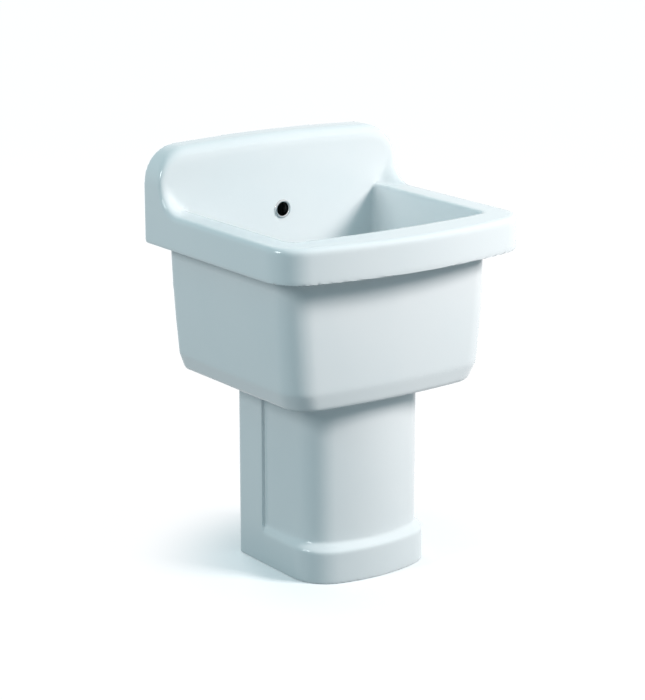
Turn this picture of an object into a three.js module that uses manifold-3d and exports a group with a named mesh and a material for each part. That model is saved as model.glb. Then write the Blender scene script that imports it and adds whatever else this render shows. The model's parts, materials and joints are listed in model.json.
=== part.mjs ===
// Utility laundry sink: a deep glazed ceramic basin with an apron rim and a raised backsplash,
// on a ceramic pedestal that hides the waste and a bottle trap.
// Millimetres, +Z up, +Y towards the wall. The origin is on the floor, under the centre of the plan.
import * as THREE from 'three';
import { mergeVertices } from 'three/addons/utils/BufferGeometryUtils.js';
import Module from 'manifold-3d';

const wasm = await Module();
wasm.setup();

// ---------------------------------------------------------------- driving dimensions
// Fits
const seatGap = 0.3; // between two pieces that touch
const threadGap = 0.3; // radial, between a thread or tube and the bore round it
const turningGap = 0.5; // radial, between threads that turn on each other

// Basin, overall
const basinDepth = 540;
const tubWidth = 506; // under the rim
const rimOverhang = 47; // tub side to the apron's outer face
const bowlDepth = 312; // rim to the floor beside the waste
const apronHeight = 72;
const splashRise = 134; // rim to the top of the backsplash
const splashThickness = 62.5;

// Basin, rim and apron
const apronBow = 45; // how far the front bulges past its ends
const apronCornerRadius = 63;
const apronWall = 13;
const rimThickness = 14;
const rimEdgeRadius = 9;
const rimLipRadius = 8; // round the bowl's mouth
const apronFootRadius = 4;
const arrisRadius = 1; // edges that meet the wall

// Basin, backsplash
const splashBow = 10.5; // rise of the arched top over its ends
const splashCornerRadius = 75;
const splashTopRadius = 26; // along the front of the top edge
const splashWall = 14;
const sideCoveRadius = 60; // rim to backsplash at the outer side
const mouthCoveRadius = 10; // rim to backsplash beside the bowl

// Basin, tub
const tubFrontSetback = 75; // apron front to tub front
const tubBackSetback = 13; // wall to tub back, under the rim
const tubBow = 13;
const tubCornerRadius = 42;
const tubBackCornerRadius = 14;
const tubSideTaper = 12; // each side, down to the bottom chamfer
const tubFrontTaper = 2;
const tubBackTaper = 8;
const tubBulge = 2.5; // how far the tapered walls stand proud of a straight line
const tubChamferHeight = 38;
const tubChamferSide = 15;
const tubChamferFront = 9;
const tubCreaseSpread = 3; // the crease over the chamfer is eased this far, up and down
const tubFootRadius = 8;
const tubWall = 13.5;
const floorThickness = 15;
const floorFall = 11; // bowl floor, from its edge to the waste
const bowlFootRadius = 40;
const bowlCornerRadius = 22;
const bowlBackCornerRadius = 9;
const bowlBackDraft = 4; // lean of the back wall below the overflow
const bowlUpright = 2; // upright stretch kept below the overflow ring
const skirtDepth = 22; // the tub's foot below the underside of the floor
const skirtWall = 22;
const skirtBackRadius = 4;
const backRecessFoot = 16; // ceramic left under the recess in the back
const backRecessSide = 15.5; // and beside it

// Basin, overflow and waste holes
const overflowDrop = 27; // rim to the overflow's centre
const overflowHoleRadius = 16;
const ductWidth = 40;
const ductDepth = 16;
const ductHeight = 12; // under the floor
const ductWall = 9.5;
const ductFrontWall = 12; // backsplash to the duct
const ductCrown = 22; // duct above the overflow's centre
const ductStep = 4; // how much narrower it is under the floor, each side
const ductCornerRadius = 5;
const wasteY = 15; // waste axis, behind the plan's centre
const wasteHoleRadius = 26;
const wasteSeatRadius = 37;
const wasteSeatDepth = 6;
const wasteLand = 2; // level ring of floor round the waste's seat
const wasteBossRadius = 42;

// Pedestal
const pedestalHeight = 410;
const plinthWidth = 314;
const plinthBack = 146;
const plinthFront = 144;
const plinthHeight = 66;
const plinthBow = 36;
const plinthCornerRadius = 84;
const plinthFootRadius = 2;
const pedestalBackRadius = 6;
const columnInset = 15; // column behind the plinth, at the front
const columnRearInset = 4; // and beside the rear bands
const ledgeRise = 20;
const bandFront = 60; // front edge of the rear bands
const panelCornerRadius = 18;
const pedestalWall = 13;
const lugLength = 30;
const lugDepth = 40;
const lugHeight = 16;
const lugY = 108;
const lugHoleRadius = 4;
const cushionThickness = 3;
const cushionInset = 2.5;

// Overflow ring
const ringFlangeRadius = 20;
const ringBoreRadius = 14.5;
const ringFlangeThickness = 3;
const ringEdge = 1;
const ringBevel = 2;
const ringSleeveLength = 11;

// Waste
const wasteFlangeRadius = 35;
const wasteFlangeThickness = 3;
const wasteFlangeBevel = 2;
const wasteFlangeEdge = 1.8;
const wasteThreadRadius = 23.9;
const wasteBoreRadius = 20.6;
const wasteMouthRadius = 23; // bore at the flange
const wasteMouthDepth = 14; // of its taper
const wasteLength = 78;
const wasteUpperSealThickness = 2;
const wasteLowerSealThickness = 4;
const wasteWasherThickness = 2;
const wasteClampRadius = 32; // lower seal and slip washer
const locknutFlats = 62;
const locknutHeight = 11;
const gridDrop = 1; // taper to the top of the cross grid
const gridBarWidth = 4;
const gridBarHeight = 3;
const slotWidth = 16;
const slotHeight = 8;
const plugHeight = 12; // of the part inside the waste
const plugLip = 1.5; // how far the lip reaches over the waste's flange
const plugLipEdge = 1;
const plugLipThickness = 2;
const plugNeckRadius = 3.5;
const plugKnobRadius = 7;
const plugKnobHeight = 15;

// Trap
const tubeRadius = 20;
const tubeBoreRadius = 18;
const tubeCollarRadius = 23;
const tubeCollarThickness = 3;
const waterSeal = 55; // outlet's lowest edge to the end of the inlet tube
const slipNutWall = 4.5;
const slipNutHeight = 26;
const slipNutCap = 4;
const inletSealThickness = 2;
const jointSealThickness = 3;
const jointSealInset = 1; // seal's edge inside the neck's
const trapNeckRadius = 25;
const trapNeckHeight = 24;
const trapBodyRadius = 39;
const trapBodyHeight = 84;
const trapShoulder = 14;
const trapShoulderLedge = 4; // level ring between the neck and the shoulder
const trapWall = 3;
const trapEndWall = 4; // at the shoulder and at the foot
const trapDrop = 50; // waste's foot to the top of the trap's neck
const outletDrop = 56; // top of the neck to the outlet's axis
const spigotLength = 24;
const outletInsertion = 20; // outlet tube inside the spigot
const cupHeight = 70;
const cupThreadLength = 18;
const cupThreadInset = 4;
const cupWall = 4;
const cupCollarBevel = 2;
const cupFootRadius = 30;
const cupFootBevel = 5;
const cupRibs = 10;
const cupRibRadius = 3;
const cupSealThickness = 2;
const rosetteRadius = 42;
const rosetteDepth = 11;
const rosetteThickness = 1.5;
const rosetteLand = 6; // level ring round the tube
const rosetteEdge = 2;

// Fixings
const studRadius = 5;
const studLength = 34; // from the wall
const studHoleRadius = 7;
const studDrop = 41; // rim to the studs
const bushFlangeThickness = 2;
const washerRadius = 12;
const washerThickness = 2;
const nutFlats = 16;
const nutHeight = 8;
const screwRadius = 3;
const screwHeadRadius = 7;
const screwHeadHeight = 5;
const screwHeadEdge = 2;
const screwCrownRadius = 5;
const screwWasherRadius = 9;
const screwWasherThickness = 2;

// Facets
const bowFacets = 10;
const cornerFacets = 6;
const smallFacets = 3; // hidden and small rounds
const wallFacets = 4;
const edgeFacets = 4;
const ledgeFacets = 5;
const broadFacets = 6; // broad rounds
const coveFacets = 7;
const turnFacets = 24;
const fineTurnFacets = 32;
const smallTurnFacets = 16;
const gripFacets = 12; // sides of a slip nut
const ribFacets = 8;

// ---------------------------------------------------------------- heights and planes
const basinWidth = tubWidth + 2 * rimOverhang;
const wallY = basinDepth / 2;
const frontY = -basinDepth / 2;
const floorUnderside = pedestalHeight + seatGap + cushionThickness + seatGap;
const floorTop = floorUnderside + floorThickness; // at the waste
const rimTop = floorTop + bowlDepth;
const apronBottom = rimTop - apronHeight;
const splashTop = rimTop + splashRise;
const splashFront = wallY - splashThickness;
const tubBottom = floorUnderside - skirtDepth;
const tubCrease = tubBottom + tubChamferHeight;
const tubFront = frontY + tubFrontSetback;
const tubBack = wallY - tubBackSetback;
const overflowZ = rimTop - overflowDrop;
const studX = tubWidth / 2 + (rimOverhang - apronWall) / 2; // midway between tub and apron
const studZ = rimTop - studDrop;
const wasteSeatZ = floorTop - wasteSeatDepth;
const past = 20; // how far a cut runs past the surface it opens
const fuse = 2; // how far a shape runs into the one it is joined to

// ---------------------------------------------------------------- solids from geometry
const X = new THREE.Vector3(1, 0, 0);
const Y = new THREE.Vector3(0, 1, 0);
const Z = new THREE.Vector3(0, 0, 1);
const alongX = new THREE.Matrix4().makeBasis(Y, Z, X); // sections drawn in the YZ plane
const alongY = new THREE.Matrix4().makeBasis(X, Z.clone().negate(), Y); // drawn in XZ, upside down

function solid(geometry) {
  const bare = geometry.clone();
  for (const name of ['normal', 'uv']) bare.deleteAttribute(name);
  const merged = mergeVertices(bare, 1e-4);
  return new wasm.Manifold(new wasm.Mesh({
    numProp: 3,
    vertProperties: Float32Array.from(merged.attributes.position.array),
    triVerts: Uint32Array.from(merged.index.array),
  }));
}

function geometryOf(manifold) {
  const mesh = manifold.getMesh();
  const geometry = new THREE.BufferGeometry();
  geometry.setAttribute('position', new THREE.BufferAttribute(mesh.vertProperties, 3));
  geometry.setIndex(new THREE.BufferAttribute(mesh.triVerts, 1));
  geometry.computeVertexNormals();
  return geometry;
}

// A solid through a stack of outlines with equal point counts, each at its own height.
function loft(sections) {
  const count = sections[0].outline.length;
  const positions = [];
  const triangles = [];
  for (const { outline, at } of sections) {
    for (const point of outline) positions.push(point.x, point.y, at);
  }
  for (let ring = 0; ring < sections.length - 1; ring++) {
    for (let i = 0; i < count; i++) {
      const a = ring * count + i;
      const b = ring * count + (i + 1) % count;
      triangles.push(a, b, b + count, a, b + count, a + count);
    }
  }
  const last = (sections.length - 1) * count;
  for (const [a, b, c] of THREE.ShapeUtils.triangulateShape(sections[0].outline, [])) {
    triangles.push(a, c, b);
  }
  for (const [a, b, c] of THREE.ShapeUtils.triangulateShape(sections.at(-1).outline, [])) {
    triangles.push(last + a, last + b, last + c);
  }
  const geometry = new THREE.BufferGeometry();
  geometry.setAttribute('position', new THREE.Float32BufferAttribute(positions, 3));
  geometry.setIndex(triangles);
  return geometry;
}

const prism = (outline, from, to) => loft([{ outline, at: from }, { outline, at: to }]);

function arc(centerX, centerY, radius, from, to, facets) {
  return Array.from({ length: facets + 1 }, (_, i) => {
    const angle = from + (to - from) * i / facets;
    return new THREE.Vector2(centerX + radius * Math.cos(angle), centerY + radius * Math.sin(angle));
  });
}

// Counter-clockwise plan with a straight back, a front that bows outwards, and rounded corners.
// front and back are the Y of the front's middle and of the back.
function bowedPlan({ halfWidth, front, back, bow, frontRadius, backRadius }) {
  const bowRadius = (halfWidth ** 2 + bow ** 2) / (2 * bow);
  const bowCenter = front + bowRadius;
  const cornerX = halfWidth - frontRadius;
  const cornerY = bowCenter - Math.sqrt((bowRadius - frontRadius) ** 2 - cornerX ** 2);
  const tangent = Math.atan2(cornerY - bowCenter, cornerX);
  const backX = halfWidth - backRadius;
  const backY = back - backRadius;
  return [
    ...arc(0, bowCenter, bowRadius, -Math.PI - tangent, tangent, bowFacets),
    ...arc(cornerX, cornerY, frontRadius, tangent, 0, cornerFacets).slice(1),
    ...arc(backX, backY, backRadius, 0, Math.PI / 2, smallFacets),
    ...arc(-backX, backY, backRadius, Math.PI / 2, Math.PI, smallFacets),
    ...arc(-cornerX, cornerY, frontRadius, Math.PI, Math.PI - tangent, cornerFacets).slice(0, -1),
  ];
}

function rectangle(left, right, bottom, top, radius = 0) {
  if (radius === 0) {
    return [[left, bottom], [right, bottom], [right, top], [left, top]]
      .map(([x, y]) => new THREE.Vector2(x, y));
  }
  const quarter = Math.PI / 2;
  return [
    ...arc(left + radius, bottom + radius, radius, 2 * quarter, 3 * quarter, smallFacets),
    ...arc(right - radius, bottom + radius, radius, 3 * quarter, 4 * quarter, smallFacets),
    ...arc(right - radius, top - radius, radius, 0, quarter, smallFacets),
    ...arc(left + radius, top - radius, radius, quarter, 2 * quarter, smallFacets),
  ];
}

// Steps round a quarter circle between a wall and a flat: how far in, and how far from the flat.
function roundSteps(radius, facets) {
  return Array.from({ length: facets + 1 }, (_, i) => {
    const angle = Math.PI / 2 * i / facets;
    return { inset: radius * (1 - Math.cos(angle)), depth: radius * (1 - Math.sin(angle)) };
  });
}

// How far an edge of the given radius has drawn in at a distance from its flat.
function edgeInset(radius, distance) {
  return distance >= radius ? 0 : radius - Math.sqrt(radius ** 2 - (radius - distance) ** 2);
}

function cylinder(radius, from, to, facets = turnFacets) {
  return solid(new THREE.CylinderGeometry(radius, radius, to - from, facets)
    .rotateX(Math.PI / 2).translate(0, 0, (from + to) / 2));
}

function box(left, right, front, back, bottom, top) {
  return solid(prism(rectangle(left, right, front, back), bottom, top));
}

// A body of revolution about Z from a closed profile of [radius, height] pairs.
function turned(profile, facets = turnFacets) {
  const points = profile.map(([radius, height]) => new THREE.Vector2(radius, height));
  points.push(points[0].clone());
  const geometry = new THREE.LatheGeometry(points, facets).rotateX(Math.PI / 2);
  const manifold = solid(geometry);
  return manifold.volume() < 0 ? solid(flipped(geometry)) : manifold;
}

function flipped(geometry) {
  const turnedOver = geometry.clone();
  const index = turnedOver.index.array;
  for (let i = 0; i < index.length; i += 3) [index[i], index[i + 1]] = [index[i + 1], index[i]];
  return turnedOver;
}

const ring = (inner, outer, from, to, facets = turnFacets) =>
  turned([[inner, from], [outer, from], [outer, to], [inner, to]], facets);

// A hexagonal prism, wide as the spanner that fits it.
const hexagon = (flats, from, to) => cylinder(flats / Math.sqrt(3), from, to, 6);

// ---------------------------------------------------------------- basin
// Rim and apron: one bowed plan with a rounded top edge and foot.
function rimSlab() {
  const section = (inset, at) => ({
    at,
    outline: bowedPlan({
      halfWidth: basinWidth / 2 - inset,
      front: frontY + inset,
      back: wallY,
      bow: apronBow,
      frontRadius: apronCornerRadius - inset,
      backRadius: arrisRadius,
    }),
  });
  const foot = roundSteps(apronFootRadius, edgeFacets).reverse()
    .map(({ inset, depth }) => section(inset, apronBottom + depth));
  const top = roundSteps(rimEdgeRadius, edgeFacets)
    .map(({ inset, depth }) => section(inset, rimTop - depth));
  return solid(loft([...foot, ...top]));
}

// Arched outline of the backsplash, drawn in at its sides and top. It is drawn upside down.
const splashOutline = (side, top, bottom) => bowedPlan({
  halfWidth: basinWidth / 2 - side,
  front: -(splashTop - top),
  back: -bottom,
  bow: splashBow,
  frontRadius: splashCornerRadius - (side + top) / 2,
  backRadius: arrisRadius,
});

// Backsplash: its front edge is rolled back more along the top than at the sides.
function splashPanel(bottom) {
  const section = (distance) => ({
    at: splashFront + distance,
    outline: splashOutline(
      edgeInset(rimEdgeRadius, distance), edgeInset(splashTopRadius, distance), bottom),
  });
  const sideSteps = roundSteps(rimEdgeRadius, edgeFacets).map(({ depth }) => rimEdgeRadius - depth);
  const topSteps = roundSteps(splashTopRadius, broadFacets)
    .map(({ depth }) => splashTopRadius - depth).filter((distance) => distance > rimEdgeRadius);
  const distances = [...sideSteps, ...topSteps, splashThickness];
  return solid(loft(distances.map(section)).applyMatrix4(alongY));
}

// Concave sweep from a side rim up into the backsplash, tighter towards the bowl. It stays inside
// the backsplash's outline.
function sideCove(side) {
  const reach = sideCoveRadius + fuse;
  const inner = tubWidth / 2 - tubWall + rimLipRadius;
  const outer = basinWidth / 2;
  const sweep = Array.from({ length: edgeFacets + 1 }, (_, i) =>
    inner + (outer - rimEdgeRadius - inner) * i / edgeFacets);
  const edge = roundSteps(rimEdgeRadius, edgeFacets).map(({ inset, depth }) => ({
    x: outer - inset, lost: depth,
  })).reverse().slice(1);
  const stations = [...sweep.map((x) => ({ x, lost: 0 })), ...edge];
  const sections = stations.map(({ x, lost }) => {
    const blend = THREE.MathUtils.smoothstep(x, inner, outer - rimEdgeRadius);
    const radius = THREE.MathUtils.lerp(mouthCoveRadius, sideCoveRadius, blend);
    const bend = arc(splashFront - radius, rimTop + radius, radius + lost, 0, -Math.PI / 2, coveFacets);
    return {
      at: side * x,
      outline: [
        new THREE.Vector2(splashFront - reach, apronBottom + apronFootRadius),
        new THREE.Vector2(splashFront + splashTopRadius, apronBottom + apronFootRadius),
        new THREE.Vector2(splashFront + splashTopRadius, rimTop + reach),
        new THREE.Vector2(splashFront + lost, rimTop + reach),
        ...bend,
        new THREE.Vector2(splashFront - reach, rimTop - lost),
      ],
    };
  });
  if (side < 0) sections.reverse();
  const outline = prism(splashOutline(0, 0, apronBottom), frontY, wallY).applyMatrix4(alongY);
  return solid(loft(sections).applyMatrix4(alongX)).intersect(solid(outline));
}

// How far the tub's wall has drawn in at a height, as shares of its taper and of its bottom chamfer.
function tubDraw(z) {
  if (z <= tubCrease) return { taper: 1, chamfer: (tubCrease - z) / tubChamferHeight, bulge: 0 };
  const share = (z - tubCrease) / (apronBottom - tubCrease);
  return { taper: 1 - Math.min(share, 1), chamfer: 0, bulge: Math.sin(Math.PI * Math.min(share, 1)) };
}

// Plan of the tub's outside at a height, drawn in evenly by inset.
function tubPlan(z, inset, frontRadius, backRadius) {
  const { taper, chamfer, bulge } = tubDraw(z);
  const proud = tubBulge * bulge;
  return {
    halfWidth: tubWidth / 2 - tubSideTaper * taper - tubChamferSide * chamfer + proud - inset,
    front: tubFront + tubFrontTaper * taper + tubChamferFront * chamfer - proud + inset,
    back: tubBack - tubBackTaper * taper - inset,
    bow: tubBow,
    frontRadius,
    backRadius,
  };
}

function tubBody() {
  const section = (z, inset) => ({
    at: z, outline: bowedPlan(tubPlan(z, inset, tubCornerRadius - inset, tubBackCornerRadius - inset)),
  });
  const foot = roundSteps(tubFootRadius, edgeFacets).reverse()
    .map(({ inset, depth }) => section(tubBottom + depth, inset));
  const walls = Array.from({ length: wallFacets }, (_, i) =>
    tubCrease + (apronBottom - tubCrease) * (i + 1) / wallFacets);
  const levels = [
    tubCrease - tubCreaseSpread, tubCrease + tubCreaseSpread, ...walls, rimTop - rimThickness / 2,
  ];
  return solid(loft([...foot, ...levels.map((z) => section(z, 0))]));
}

// Y of the bowl's back wall: flush with the backsplash down past the overflow, then leaning forward.
function bowlBack(z) {
  const upright = overflowZ - ringFlangeRadius - bowlUpright;
  return splashFront - bowlBackDraft * Math.max(0, (upright - z) / (upright - floorTop));
}

// The bowl: rounded mouth, tapered walls, a swept foot and a floor that falls to the waste.
function bowlCavity() {
  const floorEdge = floorTop + floorFall;
  const section = (z, inset, backInset) => {
    const wall = tubPlan(Math.max(z, tubCrease), tubWall + inset, bowlCornerRadius, bowlBackCornerRadius);
    return { at: z, outline: bowedPlan({ ...wall, back: bowlBack(z) - backInset }) };
  };
  const footSections = roundSteps(bowlFootRadius, broadFacets).reverse()
    .map(({ inset, depth }) => section(floorEdge + depth, inset, inset));
  const wallFrom = floorEdge + bowlFootRadius;
  const wallTo = rimTop - rimLipRadius;
  const walls = Array.from({ length: wallFacets }, (_, i) =>
    wallFrom + (wallTo - wallFrom) * (i + 1) / wallFacets);
  const lip = roundSteps(rimLipRadius, edgeFacets).slice(1)
    .map(({ inset, depth }) => section(rimTop - depth, -inset, 0));
  const mouth = lip.at(-1).outline;
  const waste = footSections[0].outline.map((point) => {
    const angle = Math.atan2(point.y - wasteY, point.x);
    return new THREE.Vector2(Math.cos(angle), Math.sin(angle)).multiplyScalar(wasteSeatRadius + wasteLand)
      .add(new THREE.Vector2(0, wasteY));
  });
  return solid(loft([
    { at: floorTop, outline: waste },
    ...footSections,
    ...walls.map((z) => section(z, 0, 0)),
    ...lip,
    { at: splashTop + past, outline: mouth },
  ]));
}

// Open hollows on the hidden sides: under the rim, under the floor, and in the back.
function rimChannel() {
  return solid(prism(bowedPlan({
    halfWidth: basinWidth / 2 - apronWall,
    front: frontY + apronWall,
    back: wallY - apronWall,
    bow: apronBow,
    frontRadius: apronCornerRadius - apronWall,
    backRadius: arrisRadius,
  }), apronBottom - past, rimTop - rimThickness));
}

function floorRecess() {
  const plan = tubPlan(tubBottom, skirtWall, tubCornerRadius - skirtWall, skirtBackRadius);
  return solid(prism(bowedPlan(plan), tubBottom - past, floorUnderside));
}

function backRecess() {
  const front = splashFront + splashWall;
  const low = floorUnderside + backRecessFoot;
  const half = (z) => tubPlan(z, backRecessSide, tubCornerRadius, tubBackCornerRadius).halfWidth;
  const tubPart = loft([low, apronBottom, rimTop + past].map((z) => ({
    at: z, outline: rectangle(-half(z), half(z), front, wallY + past),
  })));
  const splashPart = prism(bowedPlan({
    halfWidth: basinWidth / 2 - splashWall,
    front: -(splashTop - splashWall),
    back: -rimTop,
    bow: splashBow,
    frontRadius: splashCornerRadius - splashWall,
    backRadius: arrisRadius,
  }), front, wallY + past).applyMatrix4(alongY);
  return solid(tubPart).add(solid(splashPart));
}

// Overflow duct: down the back of the bowl, then forward under the floor to the waste hole.
const ductFront = splashFront + ductFrontWall;
const ductBack = ductFront + ductDepth;

function ductShell() {
  const half = ductWidth / 2 + ductWall;
  const top = overflowZ + ductCrown + ductWall;
  const drop = prism(
    rectangle(-half, half, ductFront - ductWall, ductBack + ductWall, ductCornerRadius), tubBottom, top);
  const run = prism(
    rectangle(-half, half, -(floorUnderside + fuse), -tubBottom, ductCornerRadius),
    wasteY, ductBack + ductWall / 2).applyMatrix4(alongY);
  return solid(drop).add(solid(run));
}

function ductHollow() {
  const half = ductWidth / 2;
  const bottom = floorUnderside - ductHeight;
  return box(-half, half, ductFront, ductBack, bottom, overflowZ + ductCrown)
    .add(box(-half + ductStep, half - ductStep, wasteY, ductBack, bottom, floorUnderside));
}

const turnToY = (manifold) => manifold.rotate([-90, 0, 0]);

function basinCasting() {
  const shell = rimSlab().add(splashPanel(apronBottom + apronFootRadius))
    .add(sideCove(-1)).add(sideCove(1))
    .subtract(rimChannel())
    .add(tubBody())
    .subtract(bowlCavity())
    .subtract(floorRecess())
    .subtract(backRecess())
    .add(ductShell())
    .add(cylinder(wasteBossRadius, tubBottom, floorUnderside + fuse).translate([0, wasteY, 0]));
  const wasteCuts = cylinder(wasteHoleRadius, tubBottom - past, floorTop + past)
    .add(cylinder(wasteSeatRadius, wasteSeatZ, floorTop + past)).translate([0, wasteY, 0]);
  const overflowCut = turnToY(cylinder(overflowHoleRadius, splashFront - past, ductFront + ductDepth / 2))
    .translate([0, 0, overflowZ]);
  const studCut = (side) => turnToY(cylinder(studHoleRadius, tubBack - past, wallY + past, smallTurnFacets))
    .translate([side * studX, 0, studZ]);
  return shell.subtract(ductHollow()).subtract(wasteCuts).subtract(overflowCut)
    .subtract(studCut(-1)).subtract(studCut(1));
}

// ---------------------------------------------------------------- pedestal
// Plan of the pedestal drawn in by inset at the front, and by less beside the rear bands.
function pedestalPlan(inset, rearInset, back = plinthBack) {
  const plan = bowedPlan({
    halfWidth: plinthWidth / 2 - inset,
    front: -plinthFront + inset,
    back,
    bow: plinthBow,
    frontRadius: plinthCornerRadius - inset,
    backRadius: pedestalBackRadius,
  });
  for (const point of plan) {
    const spread = (inset - rearInset) * THREE.MathUtils.smoothstep(point.y, 0, bandFront);
    point.x += Math.sign(point.x) * spread;
  }
  return plan;
}

function pedestalCasting() {
  const foot = roundSteps(plinthFootRadius, smallFacets).reverse()
    .map(({ inset, depth }) => ({ at: depth, outline: pedestalPlan(inset, inset) }));
  const plinth = solid(loft([...foot, { at: pedestalHeight, outline: pedestalPlan(0, 0) }]));
  const ledge = Array.from({ length: ledgeFacets + 1 }, (_, i) => {
    const share = i / ledgeFacets;
    const swept = THREE.MathUtils.smoothstep(share, 0, 1);
    return {
      at: plinthHeight + ledgeRise * share,
      outline: pedestalPlan(columnInset * swept, columnRearInset * swept),
    };
  });
  const column = solid(loft([
    ...ledge,
    { at: pedestalHeight + past, outline: pedestalPlan(columnInset, columnRearInset) },
  ]));
  const panel = solid(prism(
    rectangle(frontY, bandFront, plinthHeight, pedestalHeight + 3 * past, panelCornerRadius),
    -basinWidth / 2, basinWidth / 2).applyMatrix4(alongX));
  const hollow = solid(prism(
    pedestalPlan(columnInset + pedestalWall, columnRearInset + pedestalWall, plinthBack + past),
    -past, pedestalHeight + past));
  const outside = plinth.subtract(panel.subtract(column));
  return outside.subtract(hollow).add(lug(-1)).add(lug(1));
}

// Lug inside the foot of the pedestal, with the hole for a floor screw.
const lugX = plinthWidth / 2 - columnRearInset - pedestalWall - lugLength / 2;

function lug(side) {
  const root = plinthWidth / 2 - pedestalWall / 2;
  const tip = lugX - lugLength / 2;
  const [left, right] = side > 0 ? [tip, root] : [-root, -tip];
  const block = solid(prism(
    rectangle(left, right, lugY - lugDepth / 2, lugY + lugDepth / 2, pedestalBackRadius), 0, lugHeight));
  return block.subtract(cylinder(lugHoleRadius, -past, lugHeight + past, smallTurnFacets)
    .translate([side * lugX, lugY, 0]));
}

// Soft strip that follows the pedestal's head.
function cushion() {
  const from = pedestalHeight + seatGap;
  const outer = pedestalPlan(columnInset + cushionInset, columnRearInset + cushionInset,
    plinthBack - cushionInset);
  const inner = pedestalPlan(columnInset + pedestalWall - cushionInset,
    columnRearInset + pedestalWall - cushionInset, plinthBack + past);
  return solid(prism(outer, from, from + cushionThickness))
    .subtract(solid(prism(inner, from - past, from + past)));
}

// ---------------------------------------------------------------- waste
const wasteTop = wasteSeatZ + seatGap + wasteUpperSealThickness + seatGap + wasteFlangeThickness;
const wasteFoot = wasteTop - wasteLength;
const clampBore = wasteThreadRadius + threadGap;
const lowerSealTop = tubBottom - seatGap;
const slipWasherTop = lowerSealTop - wasteLowerSealThickness - seatGap;
const locknutTop = slipWasherTop - wasteWasherThickness - seatGap;

function wasteBody() {
  const under = wasteTop - wasteFlangeThickness;
  const shell = turned([
    [wasteBoreRadius, wasteFoot], [wasteThreadRadius, wasteFoot], [wasteThreadRadius, under],
    [wasteFlangeRadius, under], [wasteFlangeRadius, under + wasteFlangeEdge],
    [wasteFlangeRadius - wasteFlangeBevel, wasteTop], [wasteMouthRadius, wasteTop],
    [wasteBoreRadius, wasteTop - wasteMouthDepth],
  ], fineTurnFacets);
  const gridTop = wasteTop - wasteMouthDepth - gridDrop;
  const reach = (wasteBoreRadius + wasteThreadRadius) / 2;
  const half = gridBarWidth / 2;
  const grid = box(-reach, reach, -half, half, gridTop - gridBarHeight, gridTop)
    .add(box(-half, half, -reach, reach, gridTop - gridBarHeight, gridTop));
  const slotMiddle = floorUnderside - ductHeight / 2;
  const slots = box(-slotWidth / 2, slotWidth / 2, -wasteFlangeRadius, wasteFlangeRadius,
    slotMiddle - slotHeight / 2, slotMiddle + slotHeight / 2);
  return shell.add(grid).subtract(slots);
}

// The stopper fills the waste's tapered mouth, and is drawn out by its knob.
function sinkPlug() {
  const bottom = wasteTop - plugHeight;
  const mouth = wasteMouthRadius - threadGap;
  const taper = (wasteMouthRadius - wasteBoreRadius) * plugHeight / wasteMouthDepth;
  const lipFoot = wasteTop + seatGap;
  const top = lipFoot + plugLipThickness;
  const knobMiddle = top + plugKnobHeight - plugKnobRadius;
  const neckAngle = Math.acos(plugNeckRadius / plugKnobRadius);
  return turned([
    [0, bottom], [mouth - taper, bottom], [mouth, wasteTop], [mouth + plugLip, lipFoot],
    [mouth + plugLip, lipFoot + plugLipEdge], [mouth, top], [plugNeckRadius, top],
    ...arc(0, knobMiddle, plugKnobRadius, -neckAngle, Math.PI / 2, broadFacets),
  ], fineTurnFacets);
}

// ---------------------------------------------------------------- trap
const tubeClear = tubeRadius + threadGap;
const trapTop = wasteFoot - trapDrop;
const inletSealTop = wasteFoot - seatGap;
const collarTop = inletSealTop - inletSealThickness - seatGap;
const outletZ = trapTop - outletDrop;
const inletTubeFoot = outletZ - tubeBoreRadius - waterSeal;
const trapBodyFoot = trapTop - trapNeckHeight - trapBodyHeight;
const spigotEnd = wasteY + trapBodyRadius + spigotLength;
const cupThreadRadius = trapBodyRadius - cupThreadInset;
const cupInner = cupThreadRadius + turningGap;
const cupSealTop = trapBodyFoot - cupThreadLength - seatGap;
const cupLedge = cupSealTop - cupSealThickness - seatGap;

// A slip nut: many-sided grip, a bore for the thread and a cap that presses a seal on the end.
function slipNut(threadRadius, capBore, capFrom) {
  const bore = threadRadius + threadGap;
  const outer = bore + slipNutWall;
  const capTo = capFrom + slipNutCap;
  const foot = capTo - slipNutHeight;
  return cylinder(outer, foot, capTo, gripFacets)
    .subtract(cylinder(bore, foot - past, capFrom))
    .subtract(cylinder(capBore, foot - past, capTo + past));
}

function inletTube() {
  return turned([
    [tubeBoreRadius, inletTubeFoot], [tubeRadius, inletTubeFoot],
    [tubeRadius, collarTop - tubeCollarThickness],
    [tubeCollarRadius, collarTop - tubeCollarThickness], [tubeCollarRadius, collarTop],
    [tubeBoreRadius, collarTop],
  ]);
}

function trapBody() {
  const shoulderTop = trapTop - trapNeckHeight;
  const shoulderFoot = shoulderTop - trapShoulder;
  const threadFoot = trapBodyFoot - cupThreadLength;
  const inner = trapBodyRadius - trapWall;
  const threadInner = cupThreadRadius - trapWall;
  const outside = turned([
    [0, threadFoot], [cupThreadRadius, threadFoot], [cupThreadRadius, trapBodyFoot],
    [trapBodyRadius, trapBodyFoot], [trapBodyRadius, shoulderFoot],
    [trapNeckRadius + trapShoulderLedge, shoulderTop], [trapNeckRadius, shoulderTop],
    [trapNeckRadius, trapTop], [0, trapTop],
  ]);
  const inside = turned([
    [0, threadFoot - past], [threadInner, threadFoot - past], [threadInner, trapBodyFoot],
    [inner, trapBodyFoot + trapEndWall], [inner, shoulderFoot - trapEndWall],
    [tubeClear, shoulderTop - trapEndWall], [tubeClear, trapTop + past], [0, trapTop + past],
  ]);
  const along = (radius, to) => turnToY(cylinder(radius, 0, to)).translate([0, 0, outletZ]);
  const end = spigotEnd - wasteY;
  return outside.add(along(trapNeckRadius, end)).subtract(inside).subtract(along(tubeClear, end + past));
}

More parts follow.
